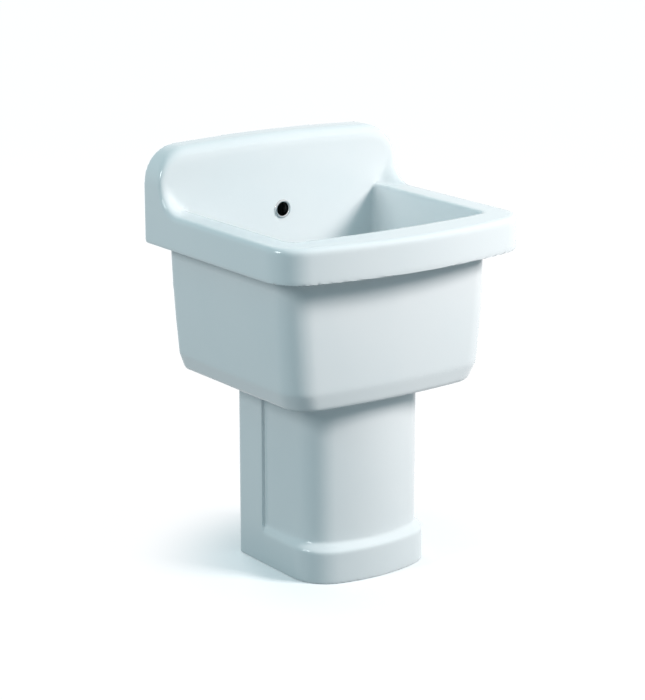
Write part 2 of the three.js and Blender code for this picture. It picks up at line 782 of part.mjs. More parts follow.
function trapCup() {
  const outer = cupInner + cupWall;
  const top = trapBodyFoot - seatGap;
  const collarFoot = cupLedge - cupWall;
  const ribFoot = collarFoot + cupCollarBevel;
  const foot = trapBodyFoot - cupHeight;
  const floor = foot + trapWall;
  const ledgeInner = cupThreadRadius - trapWall;
  const footInner = cupFootRadius - trapWall;
  const cup = turned([
    [0, foot], [cupFootRadius - cupFootBevel, foot], [cupFootRadius, foot + cupFootBevel],
    [outer - cupCollarBevel, collarFoot], [outer, ribFoot], [outer, top], [cupInner, top],
    [cupInner, cupLedge], [ledgeInner, cupLedge], [ledgeInner, collarFoot],
    [footInner, floor + cupFootBevel], [footInner - cupFootBevel, floor], [0, floor],
  ]);
  const rib = cylinder(cupRibRadius, ribFoot, top - cupCollarBevel, ribFacets).translate([outer, 0, 0]);
  return Array.from({ length: cupRibs }, (_, i) => rib.rotate([0, 0, 360 * i / cupRibs]))
    .reduce((ribbed, next) => ribbed.add(next), cup);
}

// The pieces on the outlet's axis are drawn about Z, then laid along Y.
const outletSealEnd = spigotEnd + seatGap + jointSealThickness;
const wallFace = wallY - seatGap;

function rosette() {
  const front = wallFace - rosetteDepth;
  const land = tubeClear + rosetteLand;
  return turned([
    [tubeClear, front], [land, front], [rosetteRadius, wallFace - rosetteEdge], [rosetteRadius, wallFace],
    [rosetteRadius - 2 * rosetteThickness, wallFace], [land, front + rosetteThickness],
    [tubeClear, front + rosetteThickness],
  ], fineTurnFacets);
}

// ---------------------------------------------------------------- fixings
const webFace = wallY - apronWall;
const bushFace = webFace - seatGap - bushFlangeThickness;
const studWasherFace = bushFace - seatGap - washerThickness;
const studBore = studRadius + threadGap;

function bush() {
  const sleeve = studHoleRadius - threadGap;
  return turned([
    [studBore, bushFace], [washerRadius, bushFace], [washerRadius, bushFace + bushFlangeThickness],
    [sleeve, bushFace + bushFlangeThickness], [sleeve, wallFace], [studBore, wallFace],
  ], smallTurnFacets);
}

function wallNut() {
  const face = studWasherFace - seatGap;
  return hexagon(nutFlats, face - nutHeight, face)
    .subtract(cylinder(studBore, face - nutHeight - past, face + past, smallTurnFacets));
}

function floorScrew() {
  const headFoot = lugHeight + seatGap + screwWasherThickness + seatGap;
  return turned([
    [0, seatGap], [screwRadius, seatGap], [screwRadius, headFoot], [screwHeadRadius, headFoot],
    [screwHeadRadius, headFoot + screwHeadEdge],
    [screwCrownRadius, headFoot + screwHeadHeight], [0, headFoot + screwHeadHeight],
  ], smallTurnFacets);
}

// ---------------------------------------------------------------- assembly
const materials = {
  ceramic: { color: 0xe9eff0, roughness: 0.12, metalness: 0 },
  chrome: { color: 0xc9ccd0, roughness: 0.1, metalness: 1 },
  rubber: { color: 0x24262a, roughness: 0.7, metalness: 0 },
  softSeal: { color: 0xd8dad8, roughness: 0.6, metalness: 0 },
  plastic: { color: 0xf2f2ef, roughness: 0.4, metalness: 0 },
  steel: { color: 0xb6babf, roughness: 0.35, metalness: 1 },
  brass: { color: 0xc2a35a, roughness: 0.35, metalness: 1 },
};

const sink = new THREE.Group();

function place(name, manifold, finish, x = 0, y = 0, z = 0) {
  const mesh = new THREE.Mesh(geometryOf(manifold), new THREE.MeshStandardMaterial(materials[finish]));
  mesh.name = name;
  mesh.position.set(x, y, z);
  sink.add(mesh);
}

const aboutWaste = (name, manifold, finish) => place(name, manifold, finish, 0, wasteY, 0);
const aboutOutlet = (name, manifold, finish) => place(name, turnToY(manifold), finish, 0, 0, outletZ);

place('basin', basinCasting(), 'ceramic');
place('pedestal', pedestalCasting(), 'ceramic');
place('pedestal_cushion', cushion(), 'softSeal');

const ringFace = splashFront - seatGap;
const ringSleeve = overflowHoleRadius - threadGap;
place('overflow_ring', turnToY(turned([
  [ringBoreRadius, ringFace - ringFlangeThickness + ringEdge],
  [ringBoreRadius + ringEdge, ringFace - ringFlangeThickness],
  [ringFlangeRadius - ringBevel, ringFace - ringFlangeThickness],
  [ringFlangeRadius, ringFace - ringEdge],
  [ringFlangeRadius, ringFace], [ringSleeve, ringFace], [ringSleeve, ringFace + ringSleeveLength],
  [ringBoreRadius, ringFace + ringSleeveLength],
])), 'chrome', 0, 0, overflowZ);

aboutWaste('waste_body', wasteBody(), 'chrome');
const upperSealFoot = wasteSeatZ + seatGap;
aboutWaste('waste_upper_seal',
  ring(clampBore, wasteFlangeRadius, upperSealFoot, upperSealFoot + wasteUpperSealThickness), 'rubber');
aboutWaste('waste_lower_seal',
  ring(clampBore, wasteClampRadius, lowerSealTop - wasteLowerSealThickness, lowerSealTop), 'rubber');
aboutWaste('waste_slip_washer',
  ring(clampBore, wasteClampRadius, slipWasherTop - wasteWasherThickness, slipWasherTop), 'plastic');
aboutWaste('waste_locknut', hexagon(locknutFlats, locknutTop - locknutHeight, locknutTop)
  .subtract(cylinder(clampBore, locknutTop - locknutHeight - past, locknutTop + past)), 'brass');
aboutWaste('sink_plug', sinkPlug(), 'rubber');

aboutWaste('trap_inlet_seal',
  ring(tubeBoreRadius, tubeCollarRadius, collarTop + seatGap, inletSealTop), 'rubber');
aboutWaste('trap_inlet_tube', inletTube(), 'chrome');
// This nut screws on upwards, with its cap under the tube's collar.
const inletNutCap = collarTop - tubeCollarThickness - seatGap;
aboutWaste('trap_inlet_nut',
  slipNut(wasteThreadRadius, tubeClear, -inletNutCap).rotate([180, 0, 0]), 'chrome');
aboutWaste('trap_body', trapBody(), 'chrome');
const bodySealFoot = trapTop + seatGap;
const jointSealRadius = trapNeckRadius - jointSealInset;
aboutWaste('trap_body_seal',
  ring(tubeClear, jointSealRadius, bodySealFoot, bodySealFoot + jointSealThickness), 'rubber');
aboutWaste('trap_body_nut',
  slipNut(trapNeckRadius, tubeClear, bodySealFoot + jointSealThickness + seatGap), 'chrome');
aboutWaste('trap_cup', trapCup(), 'chrome');
aboutWaste('trap_cup_seal',
  ring(cupThreadRadius - trapWall, cupThreadRadius, cupSealTop - cupSealThickness, cupSealTop), 'rubber');

aboutOutlet('trap_outlet_seal',
  ring(tubeClear, jointSealRadius, spigotEnd + seatGap, outletSealEnd), 'rubber');
aboutOutlet('trap_outlet_nut', slipNut(trapNeckRadius, tubeClear, outletSealEnd + seatGap), 'chrome');
aboutOutlet('trap_outlet_tube',
  ring(tubeBoreRadius, tubeRadius, spigotEnd - outletInsertion, wallFace), 'chrome');
aboutOutlet('wall_rosette', rosette(), 'chrome');

for (const [label, side] of [['left', -1], ['right', 1]]) {
  const atStud = (name, manifold, finish) =>
    place(`${name}_${label}`, turnToY(manifold), finish, side * studX, 0, studZ);
  atStud('wall_stud', cylinder(studRadius, wallFace - studLength, wallFace, smallTurnFacets), 'steel');
  atStud('wall_bush', bush(), 'plastic');
  const washer = ring(studBore, washerRadius, studWasherFace, studWasherFace + washerThickness,
    smallTurnFacets);
  atStud('wall_washer', washer, 'steel');
  atStud('wall_nut', wallNut(), 'steel');
  const washerFoot = lugHeight + seatGap;
  place(`floor_washer_${label}`, ring(screwRadius + threadGap, screwWasherRadius, washerFoot,
    washerFoot + screwWasherThickness, smallTurnFacets), 'plastic', side * lugX, lugY, 0);
  place(`floor_screw_${label}`, floorScrew(), 'steel', side * lugX, lugY, 0);
}

export default sink;
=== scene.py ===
"""Looks of a utility laundry sink: glazed basin and pedestal, waste, bottle trap and fixings.

Metres, +Z up, +Y towards the wall. The origin is on the floor, under the centre of the plan.
"""

import json
import logging
import math
from collections.abc import Iterator, Sequence
from contextlib import contextmanager
from dataclasses import dataclass
from enum import Enum

import bmesh
import bpy
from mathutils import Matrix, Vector
from mathutils.kdtree import KDTree

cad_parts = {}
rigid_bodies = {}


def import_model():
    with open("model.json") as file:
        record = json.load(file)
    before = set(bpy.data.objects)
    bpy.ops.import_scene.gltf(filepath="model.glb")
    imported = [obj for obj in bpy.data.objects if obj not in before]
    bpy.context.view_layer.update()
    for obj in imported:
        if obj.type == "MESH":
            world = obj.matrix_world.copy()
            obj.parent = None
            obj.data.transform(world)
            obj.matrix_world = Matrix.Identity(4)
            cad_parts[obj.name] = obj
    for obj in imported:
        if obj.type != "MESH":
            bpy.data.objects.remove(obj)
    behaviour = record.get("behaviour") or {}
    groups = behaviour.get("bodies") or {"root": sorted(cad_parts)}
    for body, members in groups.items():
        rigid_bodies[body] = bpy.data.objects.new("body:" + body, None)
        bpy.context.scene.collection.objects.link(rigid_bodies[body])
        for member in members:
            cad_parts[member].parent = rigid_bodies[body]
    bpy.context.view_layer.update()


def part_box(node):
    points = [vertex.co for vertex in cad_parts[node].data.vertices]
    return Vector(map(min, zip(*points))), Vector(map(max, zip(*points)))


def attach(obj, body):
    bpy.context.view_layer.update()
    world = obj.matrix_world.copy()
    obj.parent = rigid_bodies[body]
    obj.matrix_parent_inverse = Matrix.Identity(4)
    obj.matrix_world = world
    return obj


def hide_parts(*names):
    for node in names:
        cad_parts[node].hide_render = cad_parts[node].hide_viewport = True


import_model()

log = logging.getLogger("laundry_sink")

Colour = tuple[float, float, float]
Ring = list[Vector]
Profile = list[tuple[float, float]]
Corner = tuple[float, float, float]

MM = 0.001
FULL_TURN = 2 * math.pi
QUARTER_TURN = math.pi / 2
TURN_STEPS = 96  # facets round a turned piece
SMALL_STEPS = 64  # facets round a small one
BORE_SIDES = 64
BLOCK_SEGMENTS = 6  # strips in a block's rounded edges
SHARP_ANGLE = math.radians(38)  # edges sharper than this are shaded sharp
BEVEL_ANGLE = math.radians(30)  # edges sharper than this are bevelled
DOUBLES = 1e-6  # vertices nearer than this are one
CLEARANCE = 0.3 * MM  # between a bore and what goes through it
HAIR = 0.3 * MM  # the rounding of a fine edge
PAST = 20 * MM  # how far a cutter runs past the surface it opens
FUSE = 2 * MM  # how far a shape runs into the one it is joined to
SKIN_DEPTH = 8  # the skin's grid has two to this power of cells a side
WASTE_Y = 15 * MM  # the waste and the trap stand this far behind the middle
WASTE_THREAD = 23.9 * MM  # the radius of the waste's thread


class Operation(Enum):
    """What a tool does to the piece that it meets."""

    JOIN = "UNION"
    CUT = "DIFFERENCE"
    TRIM = "INTERSECT"


class Solver(Enum):
    """How a boolean is worked out: exactly, for any input, or so that closed pieces stay closed."""

    EXACT = "EXACT"
    CLOSED = "MANIFOLD"


class Axis(Enum):
    """The way that a turned piece points."""

    UP = (0, 0, 1)
    BACK = (0, 1, 0)


class Bare(Enum):
    """The side of a casting that the glaze leaves bare."""

    BACK = "back"
    INSIDE = "inside"


# ---------------------------------------------------------------- bench work


def select_only(piece: bpy.types.Object) -> None:
    """Deselects everything, then selects the piece and makes it active.

    Args:
        piece: The object to work on.
    """
    for other in bpy.context.view_layer.objects:
        other.select_set(False)
    piece.select_set(True)
    bpy.context.view_layer.objects.active = piece


def clear_selection() -> None:
    """Deselects everything, so that an operator acts on nothing by accident."""
    for other in bpy.context.view_layer.objects:
        other.select_set(False)
    bpy.context.view_layer.objects.active = None


def apply_modifiers(piece: bpy.types.Object) -> None:
    """Applies every modifier of a piece, in order.

    Args:
        piece: The object whose modifiers are applied.
    """
    select_only(piece)
    for name in [modifier.name for modifier in piece.modifiers]:
        bpy.ops.object.modifier_apply(modifier=name)


@contextmanager
def editing(piece: bpy.types.Object) -> Iterator[None]:
    """Opens a piece's mesh with all of it selected, and closes it again.

    Args:
        piece: The object to edit.

    Yields:
        Nothing: the operators work on the open mesh.
    """
    select_only(piece)
    bpy.ops.object.mode_set(mode="EDIT")
    bpy.ops.mesh.select_all(action="SELECT")
    yield
    bpy.ops.object.mode_set(mode="OBJECT")


def tidy_mesh(piece: bpy.types.Object) -> None:
    """Merges doubles, deletes loose edges and turns the faces outwards.

    Args:
        piece: The object to tidy.
    """
    with editing(piece):
        bpy.ops.mesh.remove_doubles(threshold=DOUBLES)
        bpy.ops.mesh.delete_loose()
        bpy.ops.mesh.select_all(action="SELECT")
        bpy.ops.mesh.normals_make_consistent(inside=False)


def closed_chain(name: str, places: Sequence[Vector], filled: bool) -> bpy.types.Object:
    """Adds a circle and moves its vertices to the given places.

    Args:
        name: The object's name.
        places: Where the vertices go, in order round the chain.
        filled: Whether the chain bounds a face.

    Returns:
        The new object, at the origin.
    """
    clear_selection()
    fill = "NGON" if filled else "NOTHING"
    bpy.ops.mesh.primitive_circle_add(vertices=len(places), fill_type=fill)
    piece = bpy.context.object
    piece.name = name
    for vertex, place in zip(piece.data.vertices, places):
        vertex.co = place
    return piece


def loft(name: str, rings: Sequence[Ring]) -> bpy.types.Object:
    """Makes a closed solid by extruding a face from ring to ring.

    Args:
        name: The object's name.
        rings: Rings of equal point counts, from one end to the other.

    Returns:
        The solid, with its place in its mesh.
    """
    piece = closed_chain(name, rings[0], filled=True)
    with editing(piece):
        for below, above in zip(rings, rings[1:]):
            bpy.ops.mesh.extrude_region()
            finder = KDTree(len(below))
            for index, place in enumerate(below):
                finder.insert(place, index)
            finder.balance()
            mesh = bmesh.from_edit_mesh(piece.data)
            for vertex in (v for v in mesh.verts if v.select):
                vertex.co = above[finder.find(vertex.co)[1]]
            bmesh.update_edit_mesh(piece.data)
    tidy_mesh(piece)
    return piece


def turned(name: str, centre: Vector, axis: Axis, profile: Profile,
           steps: int = TURN_STEPS) -> bpy.types.Object:
    """Spins a closed profile round an axis.

    Args:
        name: The object's name.
        centre: A point on the axis.
        axis: The axis's direction.
        profile: Pairs of radius and distance along the axis, from the frame's origin.
        steps: How many facets go round.

    Returns:
        The turned solid.
    """
    along = Vector(axis.value)
    foot = centre - along * centre.dot(along)
    places = [foot + Vector((radius, 0, 0)) + along * at for radius, at in profile]
    piece = closed_chain(name, places, filled=False)
    with editing(piece):
        bpy.ops.mesh.spin(steps=steps, angle=FULL_TURN, center=foot, axis=along)
    tidy_mesh(piece)
    return piece


def bar(name: str, centre: Vector, axis: Axis, radius: float, low: float, high: float,
        sides: int = BORE_SIDES) -> bpy.types.Object:
    """Adds a cylinder or a prism between two places along an axis.

    Args:
        name: The object's name.
        centre: A point on the axis.
        axis: The axis's direction.
        radius: The radius at the corners.
        low: Where it starts, along the axis.
        high: Where it ends.
        sides: How many sides it has.

    Returns:
        The prism, with its place in its mesh.
    """
    along = Vector(axis.value)
    middle = centre - along * centre.dot(along) + along * (low + high) / 2
    turn = (-QUARTER_TURN, 0, 0) if axis is Axis.BACK else (0, 0, 0)
    clear_selection()
    bpy.ops.mesh.primitive_cylinder_add(
        vertices=sides, radius=radius, depth=high - low, location=middle, rotation=turn)
    piece = bpy.context.object
    piece.name = name
    bpy.ops.object.transform_apply(location=True, rotation=True, scale=True)
    return piece


def block(name: str, low: Sequence[float], high: Sequence[float],
          radius: float = 0.0) -> bpy.types.Object:
    """Adds a box between two corners, with all its edges rounded if a radius is given.

    Args:
        name: The object's name.
        low: The lowest corner.
        high: The highest corner.
        radius: The radius of its edges.

    Returns:
        The box, with its place in its mesh.
    """
    clear_selection()
    middle = [(a + b) / 2 for a, b in zip(low, high)]
    size = [b - a for a, b in zip(low, high)]
    bpy.ops.mesh.primitive_cube_add(size=1, location=middle, scale=size)
    piece = bpy.context.object
    piece.name = name
    bpy.ops.object.transform_apply(location=True, rotation=True, scale=True)
    if radius:
        with editing(piece):
            bpy.ops.mesh.bevel(offset=radius, segments=BLOCK_SEGMENTS, affect="EDGES")
    return piece


def combine(piece: bpy.types.Object, tool: bpy.types.Object, operation: Operation,
            solver: Solver = Solver.EXACT) -> None:
    """Joins a tool to a piece, cuts it out of it or trims it to it, and removes the tool.

    Args:
        piece: The object that is changed.
        tool: The object that is used up.
        operation: What the tool does.
        solver: How it is worked out.
    """
    modifier = piece.modifiers.new("combine", "BOOLEAN")
    modifier.object = tool
    modifier.operation = operation.value
    modifier.solver = solver.value
    apply_modifiers(piece)
    bpy.data.objects.remove(tool)


def melt(piece: bpy.types.Object, skin: float, passes: int) -> None:
    """Fuses a casting into one even skin that keeps its edges, then softens joints and arrises.

    Args:
        piece: The casting.
        skin: The size of the skin's facets.
        passes: How often the skin is smoothed.
    """
    remesh = piece.modifiers.new("fuse", "REMESH")
    remesh.mode = "SHARP"
    remesh.octree_depth = SKIN_DEPTH
    remesh.scale = max(piece.dimensions) / (skin * 2 ** SKIN_DEPTH)
    remesh.use_remove_disconnected = False
    soften = piece.modifiers.new("soften", "SMOOTH")
    soften.factor = 0.5
    soften.iterations = passes
    apply_modifiers(piece)


def ease_edges(piece: bpy.types.Object, width: float, segments: int = 3) -> None:
    """Bevels the sharp edges of a piece.

    Args:
        piece: The object to bevel.
        width: The bevel's width.
        segments: How many strips the bevel has.
    """
    bevel = piece.modifiers.new("ease", "BEVEL")
    bevel.width = width
    bevel.segments = segments
    bevel.limit_method = "ANGLE"
    bevel.angle_limit = BEVEL_ANGLE
    apply_modifiers(piece)


def shade(piece: bpy.types.Object) -> None:
    """Shades a piece smooth, apart from its sharp edges."""
    select_only(piece)
    bpy.ops.object.shade_smooth_by_angle(angle=SHARP_ANGLE)


# ---------------------------------------------------------------- outlines


def arc(centre: tuple[float, float], radius: float, start: float, end: float,
        facets: int) -> list[tuple[float, float]]:
    """Points along a circular arc.

    Args:
        centre: The arc's centre.
        radius: Its radius.
        start: The first angle, in radians.
        end: The last angle.
        facets: How many straight stretches it has.

    Returns:
        One more point than there are facets.
    """
    angles = [start + (end - start) * step / facets for step in range(facets + 1)]
    return [(centre[0] + radius * math.cos(a), centre[1] + radius * math.sin(a)) for a in angles]


def quarter_angles(facets: int) -> list[float]:
    """The angles of evenly spaced points round a quarter circle, both ends included."""
    return [QUARTER_TURN * step / facets for step in range(facets + 1)]


def quarter(radius: float, facets: int = 8) -> list[tuple[float, float]]:
    """Steps round a quarter circle between a wall and a flat.

    Args:
        radius: The radius of the edge.
        facets: How many straight stretches it has.

    Returns:
        Pairs of the inset from the wall and the depth below the flat, from the wall to the flat.
    """
    return [(radius * (1 - math.cos(angle)), radius * (1 - math.sin(angle)))
            for angle in quarter_angles(facets)]


def edge_inset(radius: float, distance: float) -> float:
    """How far an edge of some radius has drawn in, at a distance from its flat.

    Args:
        radius: The radius of the edge.
        distance: How far from the flat.

    Returns:
        The inset, which is 0 past the edge.
    """
    if distance >= radius:
        return 0.0
    return radius - math.sqrt(radius**2 - (radius - distance) ** 2)


def smoothstep(value: float, low: float, high: float) -> float:
    """An S-shaped share, from 0 at low to 1 at high.

    Args:
        value: Where the share is taken.
        low: The value at which it is 0.
        high: The value at which it is 1.

    Returns:
        The share.
    """
    share = min(max((value - low) / (high - low), 0.0), 1.0)
    return share * share * (3 - 2 * share)


def eased(corners: Sequence[Corner], facets: int = 4) -> Profile:
    """Rounds the corners of a closed profile.

    Args:
        corners: The radius and the distance along the axis of each corner, and how far from it its
            rounding starts.
        facets: How many straight stretches each rounding has.

    Returns:
        The rounded profile.
    """
    points = []
    for index, (radius, at, reach) in enumerate(corners):
        here = Vector((radius, at))
        if not reach:
            points.append((radius, at))
            continue
        before = Vector(corners[index - 1][:2])
        after = Vector(corners[(index + 1) % len(corners)][:2])
        start = here.lerp(before, min(reach / (before - here).length, 0.49))
        end = here.lerp(after, min(reach / (after - here).length, 0.49))
        for step in range(facets + 1):
            share = step / facets
            place = start.lerp(here, share).lerp(here.lerp(end, share), share)
            points.append((place.x, place.y))
    return points


def ridges(radius: float, depth: float, low: float, high: float, pitch: float) -> list[Corner]:
    """The outline of a thread, as ridges one pitch apart.

    Args:
        radius: The radius over the ridges.
        depth: How deep the grooves are.
        low: Where the thread starts, along the axis.
        high: Where it ends.
        pitch: From one ridge to the next.

    Returns:
        Sharp corners, from the low end to the high one.
    """
    corners = []
    for turn in range(int((high - low) / pitch)):
        at = low + turn * pitch
        corners += [(radius - depth, at, 0.0), (radius, at + 0.4 * pitch, 0.0),
                    (radius, at + 0.6 * pitch, 0.0)]
    return [*corners, (radius - depth, high, 0.0)]


@dataclass(frozen=True)
class Spot:
    """Where a round CAD node sits: its axis, its radius and its two ends."""

    axis: Axis
    centre: Vector
    radius: float
    low: float
    high: float

    @classmethod
    def of(cls, node: str, axis: Axis) -> "Spot":
        """Reads the place of a node from its box.

        Args:
            node: The CAD node.
            axis: The way it points.

        Returns:
            Its place.
        """
        low, high = (Vector(corner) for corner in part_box(node))
        along = Vector(axis.value)
        return cls(axis, (low + high) / 2, (high.x - low.x) / 2, low.dot(along), high.dot(along))


@dataclass(frozen=True)
class BowedPlan:
    """A plan with a straight back, a front that bows outwards, and rounded corners."""

    half_width: float
    front: float
    back: float
    bow: float
    front_radius: float
    back_radius: float
    bow_facets: int = 40
    corner_facets: int = 16
    back_facets: int = 4

    def outline(self) -> list[tuple[float, float]]:
        """The plan's points, counter-clockwise from the left end of its bow."""
        bow_radius = (self.half_width**2 + self.bow**2) / (2 * self.bow)
        bow_centre = self.front + bow_radius
        corner_x = self.half_width - self.front_radius
        corner_y = bow_centre - math.sqrt((bow_radius - self.front_radius) ** 2 - corner_x**2)
        tangent = math.atan2(corner_y - bow_centre, corner_x)
        back_x = self.half_width - self.back_radius
        back_y = self.back - self.back_radius
        front = arc((0, bow_centre), bow_radius, -math.pi - tangent, tangent, self.bow_facets)
        right = arc((corner_x, corner_y), self.front_radius, tangent, 0, self.corner_facets)
        back_right = arc((back_x, back_y), self.back_radius, 0, math.pi / 2, self.back_facets)
        back_left = arc((-back_x, back_y), self.back_radius, math.pi / 2, math.pi, self.back_facets)
        left = arc((-corner_x, corner_y), self.front_radius, math.pi, math.pi - tangent,
                   self.corner_facets)
        return front + right[1:] + back_right + back_left + left[:-1]

    def level(self, height: float) -> Ring:
        """The plan laid level at a height."""
        return [Vector((x, y, height)) for x, y in self.outline()]

    def upright(self, y: float) -> Ring:
        """The plan stood upright, with its bow at the top, at a distance towards the wall."""
        return [Vector((x, y, -down)) for x, down in self.outline()]


# ---------------------------------------------------------------- finishes


class Nodes:
    """A shader or group tree that is filled in by short calls."""

    def __init__(self, tree: bpy.types.NodeTree) -> None:
        """Keeps the tree."""
        self.tree = tree

    def add(self, kind: str, values: dict[str, object] | None = None,
            **settings: object) -> bpy.types.Node:
        """Adds a node.

        Args:
            kind: The node's type.
            values: What goes into each named input: an output socket or a plain value.
            settings: The node's own settings.

        Returns:
            The node.
        """
        node = self.tree.nodes.new(kind)
        for name, value in settings.items():
            setattr(node, name, value)
        for name, value in (values or {}).items():
            socket = node.inputs[int(name)] if name.isdigit() else node.inputs[name]
            if isinstance(value, bpy.types.NodeSocket):
                self.tree.links.new(value, socket)
            else:
                socket.default_value = value
        return node

    def math(self, operation: str, *values: object) -> bpy.types.NodeSocket:
        """Adds a Math node and gives its output."""
        inputs = {str(index): value for index, value in enumerate(values)}
        return self.add("ShaderNodeMath", inputs, operation=operation).outputs[0]

    def blend(self, share: object, first: object, second: object) -> bpy.types.NodeSocket:
        """Adds a Mix node for colours and gives its output."""
        node = self.add("ShaderNodeMix", data_type="RGBA")
        for socket, value in zip((node.inputs[0], node.inputs[6], node.inputs[7]),
                                 (share, first, second)):
            if isinstance(value, bpy.types.NodeSocket):
                self.tree.links.new(value, socket)
            else:
                socket.default_value = value
        return node.outputs[2]

    def seen(self) -> bpy.types.NodeSocket:
        """Gives a mask that is 1 for rays from the camera, off gloss and through glass."""
        path = self.add("ShaderNodeLightPath").outputs
        passed_on = self.math("MAXIMUM", path["Is Glossy Ray"], path["Is Transmission Ray"])
        return self.math("MAXIMUM", path["Is Camera Ray"], passed_on)

    def ramp(self, value: object, low: float, high: float) -> bpy.types.NodeSocket:
        """Adds a smooth step from 0 at low to 1 at high and gives its output."""
        inputs = {"Value": value, "From Min": low, "From Max": high}
        return self.add("ShaderNodeMapRange", inputs, interpolation_type="SMOOTHSTEP").outputs[0]


def new_group(name: str, inputs: dict[str, str], outputs: dict[str, str]) -> bpy.types.NodeTree:
    """Makes an empty shader node group.

    Args:
        name: The group's name.
        inputs: The kind of each input, by name.
        outputs: The kind of each output, by name.

    Returns:
        The group.
    """
    group = bpy.data.node_groups.new(name, "ShaderNodeTree")
    for label, kind in inputs.items():
        group.interface.new_socket(label, in_out="INPUT", socket_type=f"NodeSocket{kind}")
    for label, kind in outputs.items():
        group.interface.new_socket(label, in_out="OUTPUT", socket_type=f"NodeSocket{kind}")
    return group


PATCH_EDGES = (0.35, 0.65)  # the noise between which one patch fades into the next


def variation_group() -> bpy.types.NodeTree:
    """The slow change of colour and gloss over a surface, and its fine unevenness."""
    group = new_group(
        "surface_variation",
        {"Colour": "Color", "Second Colour": "Color", "Patch Scale": "Float",
         "Grain Scale": "Float", "Stretch": "Vector", "Roughness": "Float",
         "Roughness Spread": "Float", "Patch Share": "Float"},
        {"Colour": "Color", "Roughness": "Float", "Height": "Float"})
    nodes = Nodes(group)
    given = nodes.add("NodeGroupInput").outputs
    place = nodes.add("ShaderNodeTexCoord").outputs["Object"]
    stretched = nodes.add("ShaderNodeMapping", {"Vector": place, "Scale": given["Stretch"]})
    patches = nodes.add("ShaderNodeTexNoise", {
        "Vector": place, "Scale": given["Patch Scale"], "Detail": 3.0, "Roughness": 0.5}).outputs[0]
    grain = nodes.add("ShaderNodeTexNoise", {
        "Vector": stretched.outputs[0], "Scale": given["Grain Scale"], "Detail": 4.0,
        "Roughness": 0.55}).outputs[0]
    share = nodes.math("MULTIPLY", nodes.ramp(patches, *PATCH_EDGES), given["Patch Share"])
    colour = nodes.blend(share, given["Colour"], given["Second Colour"])
    swing = nodes.math("MULTIPLY", nodes.math("SUBTRACT", grain, 0.5), given["Roughness Spread"])
    gloss = nodes.math("ADD", given["Roughness"], swing)
    nodes.add("NodeGroupOutput", {"Colour": colour, "Roughness": gloss, "Height": grain})
    return group


@dataclass(frozen=True)
class Finish:
    """A finish whose colour, gloss and relief vary a little over the surface."""

    name: str
    slot: str
    colour: Colour
    second: Colour
    roughness: float
    spread: float = 0.04
    patch_scale: float = 9.0
    patch_share: float = 0.6
    grain_scale: float = 60.0
    stretch: tuple[float, float, float] = (1.0, 1.0, 1.0)
    relief: float = 0.02 * MM
    metallic: float = 0.0
    ior: float = 1.5

    def base(self, variation: bpy.types.NodeTree
             ) -> tuple[bpy.types.Material, Nodes, bpy.types.Node]:
        """Makes the material and places the variation in it.

        Args:
            variation: The group that varies the surface.

        Returns:
            The material, its nodes and the node that holds the variation.
        """
        material = bpy.data.materials.new(self.name)
        material.use_nodes = True
        material.node_tree.nodes.clear()
        nodes = Nodes(material.node_tree)
        varied = nodes.add("ShaderNodeGroup", node_tree=variation)
        for label, value in (
                ("Colour", (*self.colour, 1)), ("Second Colour", (*self.second, 1)),
                ("Patch Scale", self.patch_scale), ("Patch Share", self.patch_share),
                ("Grain Scale", self.grain_scale), ("Stretch", self.stretch),
                ("Roughness", self.roughness), ("Roughness Spread", self.spread)):
            varied.inputs[label].default_value = value
        return material, nodes, varied

    def surface(self, nodes: Nodes, colour: bpy.types.NodeSocket, roughness: bpy.types.NodeSocket,
                height: bpy.types.NodeSocket) -> None:
        """Adds the shader and its relief.

        Args:
            nodes: The material's nodes.
            colour: What feeds the base colour.
            roughness: What feeds the roughness.
            height: What feeds the relief.
        """
        relief = nodes.add("ShaderNodeBump", {
            "Height": height, "Distance": self.relief, "Strength": 1.0})
        shader = nodes.add("ShaderNodeBsdfPrincipled", {
            "Base Color": colour, "Roughness": roughness, "Normal": relief.outputs[0],
            "Metallic": self.metallic, "IOR": self.ior})
        nodes.add("ShaderNodeOutputMaterial", {"Surface": shader.outputs[0]})

    def material(self, variation: bpy.types.NodeTree) -> bpy.types.Material:
        """Makes the finish's material.

        Args:
            variation: The group that varies the surface.

        Returns:
            The material.
        """
        material, nodes, varied = self.base(variation)
        self.surface(nodes, varied.outputs["Colour"], varied.outputs["Roughness"],
                     varied.outputs["Height"])
        return material


